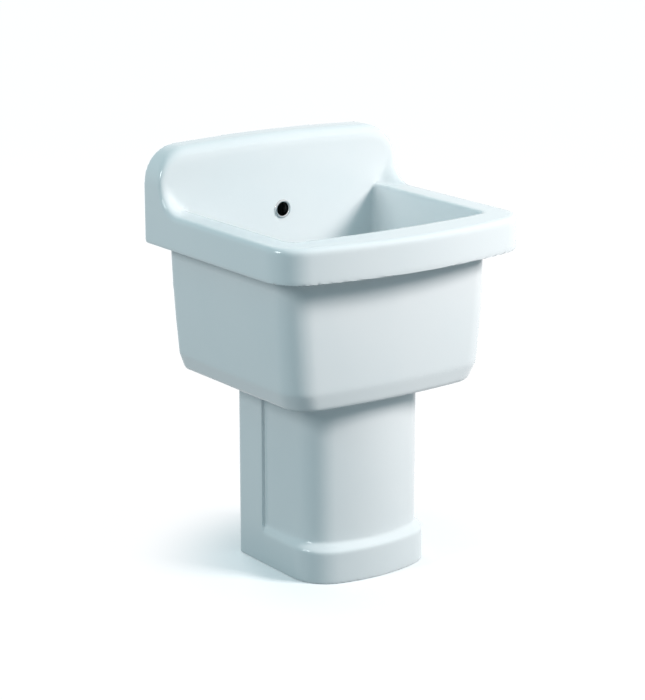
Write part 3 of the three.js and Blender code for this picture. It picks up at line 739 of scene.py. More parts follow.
@dataclass(frozen=True)
class Glaze(Finish):
    """A glazed casting whose hidden side is bare, matt clay."""

    bare: Bare = Bare.BACK
    clay: Colour = (0.70, 0.69, 0.66)
    clay_roughness: float = 0.75
    # painted shade: the near-black colour painted inside the overflow duct
    soot: Colour = (0.035, 0.036, 0.036)
    middle: tuple[float, float, float] = (0.0, 0.02, 0.0)
    bare_from: float = 0.2
    duct_middle: tuple[float, float, float] = (0.0, 0.2275, 0.5686)
    duct_reach: tuple[float, float, float] = (0.0203, 0.0083, 0.1675)
    back_facing: tuple[float, float] = (0.5, 0.8)  # how squarely a bare back faces the wall
    inward_facing: tuple[float, float] = (0.2, 0.4)  # how squarely a bare inside faces inwards

    def bare_mask(self, nodes: Nodes) -> bpy.types.NodeSocket:
        """Where the glaze stops.

        Args:
            nodes: The material's nodes.

        Returns:
            A mask that is 1 on bare clay.
        """
        place = nodes.add("ShaderNodeTexCoord").outputs["Object"]
        facing = nodes.add("ShaderNodeNewGeometry").outputs["Normal"]
        if self.bare is Bare.BACK:
            depth = nodes.add("ShaderNodeSeparateXYZ", {"0": place}).outputs["Y"]
            turned_back = nodes.add("ShaderNodeSeparateXYZ", {"0": facing}).outputs["Y"]
            behind = nodes.ramp(depth, self.bare_from, self.bare_from + FUSE)
            return nodes.math("MULTIPLY", behind, nodes.ramp(turned_back, *self.back_facing))
        reach = nodes.add("ShaderNodeVectorMath", {"0": place, "1": self.middle},
                          operation="SUBTRACT")
        level = nodes.add("ShaderNodeVectorMath", {"0": reach.outputs[0], "1": (1.0, 1.0, 0.0)},
                          operation="MULTIPLY")
        away = nodes.add("ShaderNodeVectorMath", {"0": level.outputs[0]}, operation="NORMALIZE")
        outward = nodes.add("ShaderNodeVectorMath", {"0": away.outputs[0], "1": facing},
                            operation="DOT_PRODUCT").outputs["Value"]
        return nodes.ramp(nodes.math("MULTIPLY", outward, -1.0), *self.inward_facing)

    def duct_mask(self, nodes: Nodes) -> bpy.types.NodeSocket:
        """Where shade is painted dark on the inside of the overflow duct.

        Args:
            nodes: The material's nodes.

        Returns:
            A mask that is 1 inside the duct.
        """
        place = nodes.add("ShaderNodeTexCoord").outputs["Object"]
        split = nodes.add("ShaderNodeSeparateXYZ", {"0": place}).outputs
        within = [nodes.math("COMPARE", *values)
                  for values in zip(split, self.duct_middle, self.duct_reach)]
        return nodes.math("MULTIPLY", nodes.math("MULTIPLY", within[0], within[1]), within[2])

    def material(self, variation: bpy.types.NodeTree) -> bpy.types.Material:
        """Makes the glazed material, with its bare side and, on a bare back, painted shade inside
        the overflow duct.

        Args:
            variation: The group that varies the surface.

        Returns:
            The material.
        """
        material, nodes, varied = self.base(variation)
        mask = self.bare_mask(nodes)
        colour = nodes.blend(mask, varied.outputs["Colour"], (*self.clay, 1))
        if self.bare is Bare.BACK:
            # paints shade inside the overflow duct
            colour = nodes.blend(self.duct_mask(nodes), colour, (*self.soot, 1))
        rough = nodes.math("SUBTRACT", self.clay_roughness, varied.outputs["Roughness"])
        roughness = nodes.math("MULTIPLY_ADD", mask, rough, varied.outputs["Roughness"])
        self.surface(nodes, colour, roughness, varied.outputs["Height"])
        return material


WHITE_GLAZE = (0.80, 0.83, 0.84)
THICK_GLAZE = (0.77, 0.81, 0.825)


class Palette:
    """The finishes, each made into a material once."""

    def __init__(self) -> None:
        """Makes every material."""
        variation = variation_group()
        glazing = {
            "slot": "ceramic", "colour": WHITE_GLAZE, "second": THICK_GLAZE, "roughness": 0.13,
            "spread": 0.05, "patch_scale": 5.0, "grain_scale": 45.0, "relief": 0.03 * MM,
            "ior": 1.52,
        }
        finishes = (
            Glaze(name="basin_glaze", bare=Bare.BACK, **glazing),
            Glaze(name="pedestal_glaze", bare=Bare.INSIDE, **glazing),
            Finish("chrome_plate", "chrome", (0.74, 0.75, 0.76), (0.70, 0.71, 0.73), 0.08, 0.06,
                   grain_scale=220.0, relief=0.004 * MM, metallic=1.0),
            Finish("black_rubber", "rubber", (0.022, 0.022, 0.024), (0.034, 0.034, 0.036), 0.62,
                   0.2, grain_scale=900.0, relief=0.03 * MM),
            Finish("pale_silicone", "soft_seal", (0.62, 0.63, 0.62), (0.56, 0.57, 0.56), 0.5, 0.15,
                   grain_scale=500.0, relief=0.02 * MM),
            Finish("moulded_plastic", "plastic", (0.72, 0.72, 0.69), (0.68, 0.68, 0.65), 0.42, 0.15,
                   grain_scale=700.0, relief=0.015 * MM),
            Finish("plated_steel", "steel", (0.55, 0.56, 0.58), (0.47, 0.48, 0.50), 0.32, 0.2,
                   grain_scale=400.0, stretch=(1.0, 0.15, 1.0), relief=0.008 * MM, metallic=1.0),
            Finish("machined_brass", "brass", (0.62, 0.46, 0.20), (0.52, 0.37, 0.15), 0.28, 0.2,
                   grain_scale=500.0, stretch=(1.0, 1.0, 6.0), relief=0.01 * MM, metallic=1.0),
        )
        self.slots = {finish.name: finish.slot for finish in finishes}
        self.materials = {finish.name: finish.material(variation) for finish in finishes}

    def dress(self, piece: bpy.types.Object, finish: str) -> None:
        """Gives a piece the named finish as its only material."""
        piece.data.materials.clear()
        piece.data.materials.append(self.materials[finish])

    def hand_over(self, piece: bpy.types.Object, finish: str, body: str, *nodes: str) -> None:
        """Shades and dresses a new piece, and puts it on its body in place of its nodes.

        Args:
            piece: The new piece.
            finish: The finish's name.
            body: The body that it rides on.
            nodes: The CAD nodes that it stands for.
        """
        shade(piece)
        self.dress(piece, finish)
        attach(piece, body)
        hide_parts(*nodes)
        log.info("%s: %d faces, for %s", piece.name, len(piece.data.polygons), ", ".join(nodes))


# ---------------------------------------------------------------- basin


@dataclass
class Basin:
    """The basin: apron rim, backsplash, tub, bowl and overflow duct in one casting."""

    palette: Palette
    width: float = 600 * MM
    depth: float = 540 * MM
    rim_top: float = 740.6 * MM
    bowl_depth: float = 312 * MM
    apron_height: float = 72 * MM
    splash_rise: float = 134 * MM
    splash_thickness: float = 62.5 * MM
    apron_bow: float = 43 * MM
    apron_corner: float = 76 * MM
    apron_wall: float = 13 * MM
    rim_thickness: float = 14 * MM
    rim_edge: float = 11 * MM
    rim_lip: float = 8 * MM
    apron_foot: float = 4 * MM
    arris: float = 1 * MM
    splash_bow: float = 10.5 * MM
    splash_corner: float = 75 * MM
    splash_top_edge: float = 26 * MM
    splash_wall: float = 14 * MM
    side_cove: float = 60 * MM
    mouth_cove: float = 10 * MM
    tub_width: float = 506 * MM
    tub_setback: float = 75 * MM
    tub_back_setback: float = 13 * MM
    tub_bow: float = 16 * MM
    tub_corner: float = 58 * MM
    tub_back_corner: float = 14 * MM
    side_taper: float = 12 * MM
    front_taper: float = 2 * MM
    back_taper: float = 8 * MM
    bulge: float = 2.5 * MM
    chamfer_height: float = 38 * MM
    chamfer_side: float = 15 * MM
    chamfer_front: float = 9 * MM
    crease_spread: float = 3 * MM
    tub_foot: float = 8 * MM
    tub_wall: float = 13.5 * MM
    floor_thickness: float = 15 * MM
    floor_fall: float = 11 * MM
    bowl_foot: float = 40 * MM
    bowl_corner: float = 22 * MM
    bowl_low_corner: float = 38 * MM
    bowl_back_corner: float = 9 * MM
    back_draft: float = 4 * MM
    skirt_depth: float = 22 * MM
    skirt_wall: float = 22 * MM
    skirt_back_radius: float = 4 * MM
    recess_foot: float = 16 * MM
    recess_side: float = 15.5 * MM
    overflow_drop: float = 27 * MM
    overflow_hole: float = 16 * MM
    upright_drop: float = 49 * MM  # rim to where the bowl's back starts to lean
    duct_width: float = 40 * MM
    duct_depth: float = 16 * MM
    duct_height: float = 12 * MM
    duct_wall: float = 9.5 * MM
    duct_front_wall: float = 12 * MM
    duct_crown: float = 22 * MM
    duct_radius: float = 5 * MM
    waste_y: float = WASTE_Y
    waste_hole: float = 26 * MM
    waste_seat: float = 37 * MM
    waste_seat_depth: float = 6 * MM
    waste_land: float = 2 * MM
    waste_boss: float = 42 * MM
    stud_x: float = 270 * MM
    stud_drop: float = 41 * MM
    stud_hole: float = 7 * MM
    skin: float = 5 * MM  # facets of the cast skin
    softening: int = 3
    top_edge_facets: int = 12
    cove_steps: int = 12
    cove_facets: int = 20
    tub_steps: int = 12
    bowl_steps: int = 20
    bowl_foot_facets: int = 14

    def __post_init__(self) -> None:
        """Works out the levels and planes."""
        self.wall = self.depth / 2
        self.front = -self.depth / 2
        self.floor_top = self.rim_top - self.bowl_depth
        self.floor_foot = self.floor_top - self.floor_thickness
        self.apron_bottom = self.rim_top - self.apron_height
        self.splash_top = self.rim_top + self.splash_rise
        self.splash_front = self.wall - self.splash_thickness
        self.tub_bottom = self.floor_foot - self.skirt_depth
        self.crease = self.tub_bottom + self.chamfer_height
        self.tub_front = self.front + self.tub_setback
        self.tub_back = self.wall - self.tub_back_setback
        self.overflow_z = self.rim_top - self.overflow_drop
        self.duct_front = self.splash_front + self.duct_front_wall
        self.duct_back = self.duct_front + self.duct_depth

    def rim_slab(self) -> bpy.types.Object:
        """The rim and apron, with a rounded top edge and foot."""
        def ring(inset: float, height: float) -> Ring:
            return BowedPlan(self.width / 2 - inset, self.front + inset, self.wall, self.apron_bow,
                             self.apron_corner - inset, self.arris).level(height)

        foot = [ring(inset, self.apron_bottom + depth) for inset, depth in quarter(self.apron_foot)]
        top = [ring(inset, self.rim_top - depth) for inset, depth in quarter(self.rim_edge)]
        return loft("rim_slab", foot[::-1] + top)

    def splash_outline(self, side: float, top: float, bottom: float) -> BowedPlan:
        """The backsplash's outline, drawn in at its sides and top."""
        return BowedPlan(self.width / 2 - side, -(self.splash_top - top), -bottom, self.splash_bow,
                         self.splash_corner - (side + top) / 2, self.arris)

    def splash_panel(self) -> bpy.types.Object:
        """The backsplash, whose top edge is rolled back more than its sides."""
        near = [self.rim_edge - depth for _, depth in quarter(self.rim_edge)]
        far = [self.splash_top_edge - depth
               for _, depth in quarter(self.splash_top_edge, self.top_edge_facets)]
        distances = near + [d for d in far if d > self.rim_edge] + [self.splash_thickness]
        rings = [
            self.splash_outline(edge_inset(self.rim_edge, d), edge_inset(self.splash_top_edge, d),
                                self.apron_bottom + self.apron_foot).upright(self.splash_front + d)
            for d in distances
        ]
        return loft("splash_panel", rings)

    def cove(self, side: int) -> bpy.types.Object:
        """The sweep from a side rim up into the backsplash, tighter towards the bowl.

        Args:
            side: -1 for the left rim, 1 for the right one.

        Returns:
            The solid that fills the sweep's corner.
        """
        reach = self.side_cove + FUSE
        inner = self.tub_width / 2 - self.tub_wall + self.rim_lip
        shoulder = self.width / 2 - self.rim_edge
        stations = [(inner + (shoulder - inner) * step / self.cove_steps, 0.0)
                    for step in range(self.cove_steps + 1)]
        stations += [(self.width / 2 - inset, depth)
                     for inset, depth in quarter(self.rim_edge)[-2::-1]]
        root = self.splash_front + self.splash_top_edge
        low = self.apron_bottom + self.apron_foot
        rings = []
        for x, lost in stations:
            share = smoothstep(x, inner, shoulder)
            radius = self.mouth_cove + (self.side_cove - self.mouth_cove) * share
            centre = (self.splash_front - radius, self.rim_top + radius)
            section = [
                (self.splash_front - reach, low), (root, low), (root, self.rim_top + reach),
                (self.splash_front + lost, self.rim_top + reach),
                *arc(centre, radius + lost, 0, -QUARTER_TURN, self.cove_facets),
                (self.splash_front - reach, self.rim_top - lost),
            ]
            rings.append([Vector((side * x, y, z)) for y, z in section])
        piece = loft("cove", rings)
        outline = self.splash_outline(0, 0, self.apron_bottom)
        trimmer = loft("cove_trimmer", [outline.upright(self.front), outline.upright(self.wall)])
        combine(piece, trimmer, Operation.TRIM)
        return piece

    def tub_plan(self, height: float, inset: float, front_radius: float,
                 back_radius: float) -> BowedPlan:
        """The tub's plan at a height, drawn in evenly by the inset."""
        share = min(max((height - self.crease) / (self.apron_bottom - self.crease), 0.0), 1.0)
        taper = 1 - share
        chamfer = max(self.crease - height, 0.0) / self.chamfer_height
        proud = self.bulge * math.sin(math.pi * share)
        side = self.side_taper * taper
        front = self.front_taper * taper
        return BowedPlan(
            self.tub_width / 2 - side - self.chamfer_side * chamfer + proud - inset,
            self.tub_front + front + self.chamfer_front * chamfer - proud + inset,
            self.tub_back - self.back_taper * taper - inset,
            self.tub_bow, front_radius, back_radius)

    def tub_body(self) -> bpy.types.Object:
        """The tub's outside: tapered, slightly bulging walls over a chamfered foot."""
        def ring(height: float, inset: float) -> Ring:
            return self.tub_plan(height, inset, self.tub_corner - inset,
                                 self.tub_back_corner - inset).level(height)

        rings = [ring(self.tub_bottom + depth, inset)
                 for inset, depth in quarter(self.tub_foot)][::-1]
        rise = self.apron_bottom - self.crease
        levels = [self.crease - self.crease_spread, self.crease + self.crease_spread]
        levels += [self.crease + rise * step / self.tub_steps
                   for step in range(1, self.tub_steps + 1)]
        levels.append(self.rim_top - self.rim_thickness / 2)
        return loft("tub_body", rings + [ring(height, 0.0) for height in levels])

    def bowl_back(self, height: float) -> float:
        """How far back the bowl's rear wall is at a height."""
        upright = self.rim_top - self.upright_drop
        lean = max(0.0, (upright - height) / (upright - self.floor_top))
        return self.splash_front - self.back_draft * lean

    def bowl(self) -> bpy.types.Object:
        """The bowl's hollow: rounded mouth, tapered walls, swept foot and a falling floor."""
        def ring(height: float, inset: float, back_inset: float) -> Ring:
            rise = smoothstep(height, self.apron_bottom, self.rim_top - self.rim_lip)
            corner = self.bowl_low_corner + (self.bowl_corner - self.bowl_low_corner) * rise
            plan = self.tub_plan(max(height, self.crease), self.tub_wall + inset, corner,
                                 self.bowl_back_corner)
            back = self.bowl_back(height) - back_inset
            return BowedPlan(plan.half_width, plan.front, back, plan.bow, plan.front_radius,
                             plan.back_radius).level(height)

        edge = self.floor_top + self.floor_fall
        foot = [ring(edge + depth, inset, inset)
                for inset, depth in quarter(self.bowl_foot, self.bowl_foot_facets)][::-1]
        wall_from = edge + self.bowl_foot
        wall_to = self.rim_top - self.rim_lip
        walls = [ring(wall_from + (wall_to - wall_from) * step / self.bowl_steps, 0, 0)
                 for step in range(1, self.bowl_steps + 1)]
        lip = [ring(self.rim_top - depth, -inset, 0) for inset, depth in quarter(self.rim_lip)][1:]
        waste = Vector((0, self.waste_y, self.floor_top))
        seat = []
        for place in foot[0]:
            away = Vector((place.x, place.y - self.waste_y, 0)).normalized()
            seat.append(waste + away * (self.waste_seat + self.waste_land))
        above = [Vector((p.x, p.y, self.splash_top + PAST)) for p in lip[-1]]
        return loft("bowl", [seat, *foot, *walls, *lip, above])

    def rim_channel(self) -> bpy.types.Object:
        """The hollow under the rim, behind the apron."""
        plan = BowedPlan(self.width / 2 - self.apron_wall, self.front + self.apron_wall,
                         self.wall - self.apron_wall, self.apron_bow,
                         self.apron_corner - self.apron_wall, self.arris)
        return loft("rim_channel", [plan.level(self.apron_bottom - PAST),
                                    plan.level(self.rim_top - self.rim_thickness)])

    def floor_recess(self) -> bpy.types.Object:
        """The hollow under the floor, where the pedestal's head goes."""
        plan = self.tub_plan(self.tub_bottom, self.skirt_wall, self.tub_corner - self.skirt_wall,
                             self.skirt_back_radius)
        return loft("floor_recess", [plan.level(self.tub_bottom - PAST),
                                     plan.level(self.floor_foot)])

    def back_recess(self) -> bpy.types.Object:
        """The hollow in the back, behind the tub and the backsplash."""
        near = self.splash_front + self.splash_wall
        far = self.wall + PAST

        def level(height: float) -> Ring:
            half = self.tub_plan(height, self.recess_side, self.tub_corner,
                                 self.tub_back_corner).half_width
            corners = ((-half, near), (half, near), (half, far), (-half, far))
            return [Vector((x, y, height)) for x, y in corners]

        heights = (self.floor_foot + self.recess_foot, self.apron_bottom, self.rim_top + PAST)
        piece = loft("back_recess", [level(height) for height in heights])
        outline = BowedPlan(self.width / 2 - self.splash_wall,
                            -(self.splash_top - self.splash_wall), -self.rim_top, self.splash_bow,
                            self.splash_corner - self.splash_wall, self.arris)
        upper = loft("splash_recess", [outline.upright(near), outline.upright(far)])
        combine(piece, upper, Operation.JOIN)
        return piece

    def duct(self) -> bpy.types.Object:
        """The overflow duct's outside: down the back of the bowl, then forward under its floor."""
        half = self.duct_width / 2 + self.duct_wall
        top = self.overflow_z + self.duct_crown + self.duct_wall
        near = self.duct_front - self.duct_wall
        piece = block("duct", (-half, near, self.tub_bottom),
                      (half, self.duct_back + self.duct_wall, top), self.duct_radius)
        run_top = self.floor_foot + self.duct_radius + FUSE
        run = block("duct_run", (-half, self.waste_y, self.tub_bottom),
                    (half, self.duct_back, run_top), self.duct_radius)
        combine(piece, run, Operation.JOIN)
        return piece

    def small_cuts(self) -> list[bpy.types.Object]:
        """The round holes and the duct's hollow, which keep their crisp edges."""
        waste = Vector((0, self.waste_y, 0))
        overflow = Vector((0, 0, self.overflow_z))
        half = self.duct_width / 2
        low = self.floor_foot - self.duct_height
        crown = self.overflow_z + self.duct_crown
        cuts = [
            bar("waste_hole", waste, Axis.UP, self.waste_hole, self.tub_bottom - PAST,
                self.floor_top + PAST),
            turned("waste_seat", waste, Axis.UP, [
                (0, self.floor_top - self.waste_seat_depth),
                (self.waste_seat, self.floor_top - self.waste_seat_depth),
                (self.waste_seat, self.floor_top - FUSE / 2),
                (self.waste_seat + FUSE, self.floor_top + FUSE),
                (self.waste_seat + FUSE, self.floor_top + PAST), (0, self.floor_top + PAST)]),
            bar("overflow_hole", overflow, Axis.BACK, self.overflow_hole, self.splash_front - PAST,
                self.duct_front + self.duct_depth / 2),
            block("duct_hollow", (-half, self.duct_front, low), (half, self.duct_back, crown)),
            block("duct_run_hollow", (-half, self.waste_y, low),
                  (half, self.duct_back, self.floor_foot)),
        ]
        for side in (-1, 1):
            stud = Vector((side * self.stud_x, 0, self.rim_top - self.stud_drop))
            cuts.append(bar("stud_hole", stud, Axis.BACK, self.stud_hole, self.tub_back - PAST,
                            self.wall + PAST))
        return cuts

    def build(self) -> bpy.types.Object:
        """Models and dresses the basin.

        Returns:
            The finished casting.
        """
        piece = self.rim_slab()
        piece.name = "glazed_basin"
        for side in (-1, 1):
            combine(piece, self.cove(side), Operation.JOIN)
        combine(piece, self.splash_panel(), Operation.JOIN)
        combine(piece, self.rim_channel(), Operation.CUT)
        combine(piece, self.tub_body(), Operation.JOIN)
        combine(piece, self.bowl(), Operation.CUT)
        combine(piece, self.floor_recess(), Operation.CUT)
        combine(piece, self.back_recess(), Operation.CUT)
        combine(piece, self.duct(), Operation.JOIN)
        boss = bar("waste_boss", Vector((0, self.waste_y, 0)), Axis.UP, self.waste_boss,
                   self.tub_bottom, self.floor_foot + FUSE)
        combine(piece, boss, Operation.JOIN)
        melt(piece, self.skin, self.softening)
        for cut in self.small_cuts():
            combine(piece, cut, Operation.CUT)
        self.palette.hand_over(piece, "basin_glaze", "sink", "basin")
        return piece


# ---------------------------------------------------------------- pedestal


@dataclass
class Pedestal:
    """The pedestal: a bowed front, a plinth that stands proud of it, and bands beside the wall."""

    palette: Palette
    height: float = 410 * MM
    width: float = 314 * MM
    back: float = 146 * MM
    front: float = -144 * MM
    plinth_height: float = 66 * MM
    bow: float = 36 * MM
    corner: float = 84 * MM
    foot_radius: float = 2 * MM
    back_radius: float = 6 * MM
    column_inset: float = 15 * MM
    rear_inset: float = 3 * MM
    ledge_rise: float = 20 * MM
    band_front: float = 60 * MM
    panel_corner: float = 18 * MM
    wall: float = 13 * MM
    lug_x: float = 125 * MM
    lug_y: float = 108 * MM
    lug_length: float = 30 * MM
    lug_depth: float = 40 * MM
    lug_height: float = 16 * MM
    lug_hole: float = 4 * MM
    skin: float = 3.6 * MM
    softening: int = 3
    ledge_steps: int = 12
    panel_facets: int = 12

    def ring(self, height: float, inset: float, rear_inset: float,
             back: float | None = None) -> Ring:
        """The plan at a height, drawn in at the front, and by less beside the rear bands."""
        plan = BowedPlan(self.width / 2 - inset, self.front + inset,
                         self.back if back is None else back, self.bow, self.corner - inset,
                         self.back_radius)
        places = plan.level(height)
        for place in places:
            spread = (inset - rear_inset) * smoothstep(place.y, 0, self.band_front)
            place.x += math.copysign(spread, place.x)
        return places

    def column(self) -> bpy.types.Object:
        """What is left of the front inside the panel: the ledge, and the column over it."""
        ledge = []
        for step in range(self.ledge_steps + 1):
            share = smoothstep(step / self.ledge_steps, 0, 1)
            ledge.append(self.ring(self.plinth_height + self.ledge_rise * step / self.ledge_steps,
                                   self.column_inset * share, self.rear_inset * share))
        head = self.ring(self.height + PAST, self.column_inset, self.rear_inset)
        return loft("column", [*ledge, head])

    def panel(self) -> bpy.types.Object:
        """The outline of the sunk panel, seen from the side."""
        corner = (self.band_front - self.panel_corner, self.plinth_height + self.panel_corner)
        outline = [
            (self.front - PAST, self.plinth_height),
            *arc(corner, self.panel_corner, -QUARTER_TURN, 0, self.panel_facets),
            (self.band_front, self.height + PAST), (self.front - PAST, self.height + PAST),
        ]
        return loft("panel", [[Vector((x, y, z)) for y, z in outline]
                              for x in (-self.width, self.width)])

    def lug(self, side: int) -> bpy.types.Object:
        """A lug inside the foot, for a floor screw."""
        root = self.width / 2 - self.wall / 2
        tip = self.lug_x - self.lug_length / 2
        left, right = sorted((side * tip, side * root))
        return block("lug", (left, self.lug_y - self.lug_depth / 2, 0),
                     (right, self.lug_y + self.lug_depth / 2, self.lug_height))

    def build(self) -> bpy.types.Object:
        """Models and dresses the pedestal.

        Returns:
            The finished casting.
        """
        foot = [self.ring(depth, inset, inset) for inset, depth in quarter(self.foot_radius)][::-1]
        piece = loft("glazed_pedestal", [*foot, self.ring(self.height, 0, 0)])
        panel = self.panel()
        combine(panel, self.column(), Operation.CUT)
        combine(piece, panel, Operation.CUT)
        rear = self.back + PAST
        inset = self.column_inset + self.wall
        rear_inset = self.rear_inset + self.wall
        hollow = loft("hollow", [self.ring(-PAST, inset, rear_inset, rear),
                                 self.ring(self.height + PAST, inset, rear_inset, rear)])
        combine(piece, hollow, Operation.CUT)
        for side in (-1, 1):
            combine(piece, self.lug(side), Operation.JOIN)
        melt(piece, self.skin, self.softening)
        for side in (-1, 1):
            hole = bar("lug_hole", Vector((side * self.lug_x, self.lug_y, 0)), Axis.UP,
                       self.lug_hole, -PAST, self.lug_height + PAST)
            combine(piece, hole, Operation.CUT)
        self.palette.hand_over(piece, "pedestal_glaze", "sink", "pedestal")
        return piece


# ---------------------------------------------------------------- fittings


NUT_EDGE = 40  # a nut's corner radius is this many times the width of its bevel
SLIP_NUT_SIDES = 12


@dataclass
class Fittings:
    """A group of small pieces that stand where their CAD nodes are."""

    palette: Palette

    def hand_over(self, piece: bpy.types.Object, finish: str, node: str,
                  body: str = "sink") -> None:
        """Dresses a piece and puts it on its body in place of its node."""
        self.palette.hand_over(piece, finish, body, node)

    def washer(self, node: str, finish: str, bore: float, ease: float, axis: Axis = Axis.UP,
               body: str = "sink") -> None:
        """Makes a flat ring with rounded edges.

        Args:
            node: The CAD node.
            finish: The finish's name.
            bore: The radius of its hole.
            ease: How far its edges are rounded.
            axis: The way it points.
            body: The body that it rides on.
        """
        spot = Spot.of(node, axis)
        profile = eased([(bore, spot.low, ease), (spot.radius, spot.low, ease),
                         (spot.radius, spot.high, ease), (bore, spot.high, ease)])
        self.hand_over(turned(f"moulded_{node}", spot.centre, axis, profile), finish, node, body)

    def nut(self, node: str, finish: str, sides: int, bore: list[Corner], outside: list[Corner],
            axis: Axis = Axis.UP) -> None:
        """Makes a many-sided nut whose corners are turned down at its ends.

        Args:
            node: The CAD node.
            finish: The finish's name.
            sides: How many sides it has.
            bore: The profile of its hole.
            outside: The turned profile that its prism is trimmed to.
            axis: The way it points.
        """
        spot = Spot.of(node, axis)
        corner = spot.radius if sides % 4 == 0 else spot.radius / math.cos(math.pi / sides)
        piece = bar(f"machined_{node}", spot.centre, axis, corner, spot.low, spot.high, sides)
        ease_edges(piece, corner / NUT_EDGE)
        combine(piece, turned("nut_ends", spot.centre, axis, eased(outside)), Operation.TRIM)
        combine(piece, turned("nut_bore", spot.centre, axis, eased(bore)), Operation.CUT)
        self.hand_over(piece, finish, node)

    def plain_nut(self, node: str, finish: str, bore: float, axis: Axis = Axis.UP) -> None:
        """Makes a hexagonal nut with a chamfer at each end.

        Args:
            node: The CAD node.
            finish: The finish's name.
            bore: The radius of its hole.
            axis: The way it points.
        """
        spot = Spot.of(node, axis)
        flat = spot.radius
        end = 0.96 * flat
        corner = 1.17 * flat
        drop = 0.09 * flat
        lip = 0.05 * flat
        low, high = spot.low, spot.high
        outside = [(0, low, 0), (end, low, 0), (corner, low + drop, 0),
                   (corner, high - drop, 0), (end, high, 0), (0, high, 0)]
        hole = [(0, low - lip, 0), (bore + 2 * lip, low - lip, 0), (bore, low + lip, 0),
                (bore, high - lip, 0), (bore + 2 * lip, high + lip, 0), (0, high + lip, 0)]
        self.nut(node, finish, 6, hole, outside, axis)

    def slip_nut(self, node: str, thread: float, tube: float, cap_high: bool,
                 axis: Axis = Axis.UP) -> None:
        """Makes a chromed slip nut: a many-sided grip below a round shoulder, with a cap.

        Args:
            node: The CAD node.
            thread: The radius of the bore round the thread.
            tube: The radius of the hole in the cap.
            cap_high: Whether the cap is at the high end of its axis.
            axis: The way it points.
        """
        spot = Spot.of(node, axis)
        cap = 4 * MM
        inner = spot.radius * math.cos(math.pi / SLIP_NUT_SIDES)
        length = spot.high - spot.low
        grip = 0.72 * length
        shoulder = 0.80 * length
        lip = 0.8 * MM
        hole = [(0, -lip, 0), (thread + 2 * lip, -lip, 0), (thread, lip, 0),
                (thread, length - cap, 0), (tube, length - cap, 0), (tube, length + lip, 0),
                (0, length + lip, 0)]
        outside = [(0, 0, 0), (inner - lip, 0, 0), (spot.radius + lip, 2 * lip, 0),
                   (spot.radius + lip, grip, 0), (inner - lip, shoulder, lip),
                   (inner - lip, length, 2 * lip), (0, length, 0)]

        def laid(corners: list[Corner]) -> list[Corner]:
            """Lays a profile drawn from the nut's open end along its axis."""
            if cap_high:
                return [(radius, spot.low + at, reach) for radius, at, reach in corners]
            return [(radius, spot.high - at, reach) for radius, at, reach in corners]

        self.nut(node, "chrome_plate", SLIP_NUT_SIDES, laid(hole), laid(outside), axis)


@dataclass
class Trim(Fittings):
    """The bright ring in the overflow, and the soft strip between the basin and the pedestal."""

    ring_bore: float = 14.5 * MM
    ring_sleeve: float = 15.7 * MM
    ring_flange: float = 3 * MM
    ring_facets: int = 6
    strip_inset: float = 2.5 * MM
    strip_ease: float = 0.9 * MM

    def overflow_ring(self) -> None:
        """The ring: a rounded flange in front of a thin sleeve."""
        node = "overflow_ring"
        spot = Spot.of(node, Axis.BACK)
        face = spot.low + self.ring_flange
        profile = eased([
            (self.ring_bore, spot.high, HAIR), (self.ring_sleeve, spot.high, HAIR),
            (self.ring_sleeve, face, 0), (spot.radius, face, HAIR),
            (spot.radius, spot.low + 1.6 * MM, 1.2 * MM),
            (spot.radius - 1.9 * MM, spot.low, 1.4 * MM),
            (self.ring_bore + 1.4 * MM, spot.low, 0.9 * MM),
            (self.ring_bore, spot.low + 1.5 * MM, 0.9 * MM),
        ], self.ring_facets)
        piece = turned("bright_overflow_ring", spot.centre, spot.axis, profile)
        self.hand_over(piece, "chrome_plate", node)

    def strip(self, pedestal: "Pedestal") -> None:
        """The soft strip, which follows the pedestal's head.

        Args:
            pedestal: The pedestal that it lies on.
        """
        node = "pedestal_cushion"
        low, high = (corner[2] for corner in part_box(node))
        outer = (pedestal.column_inset + self.strip_inset, pedestal.rear_inset + self.strip_inset,
                 pedestal.back - self.strip_inset)
        inner = (pedestal.column_inset + pedestal.wall - self.strip_inset,
                 pedestal.rear_inset + pedestal.wall - self.strip_inset, pedestal.back + PAST)
        piece = loft("soft_strip", [pedestal.ring(height, *outer) for height in (low, high)])
        hollow = loft("strip_hollow", [pedestal.ring(height, *inner)
                                       for height in (low - PAST, high + PAST)])
        combine(piece, hollow, Operation.CUT)
        ease_edges(piece, self.strip_ease)
        self.hand_over(piece, "pale_silicone", node)

    def build(self, pedestal: "Pedestal") -> None:
        """Models and dresses the ring and the strip.

        Args:
            pedestal: The pedestal that the strip lies on.
        """
        self.overflow_ring()
        self.strip(pedestal)


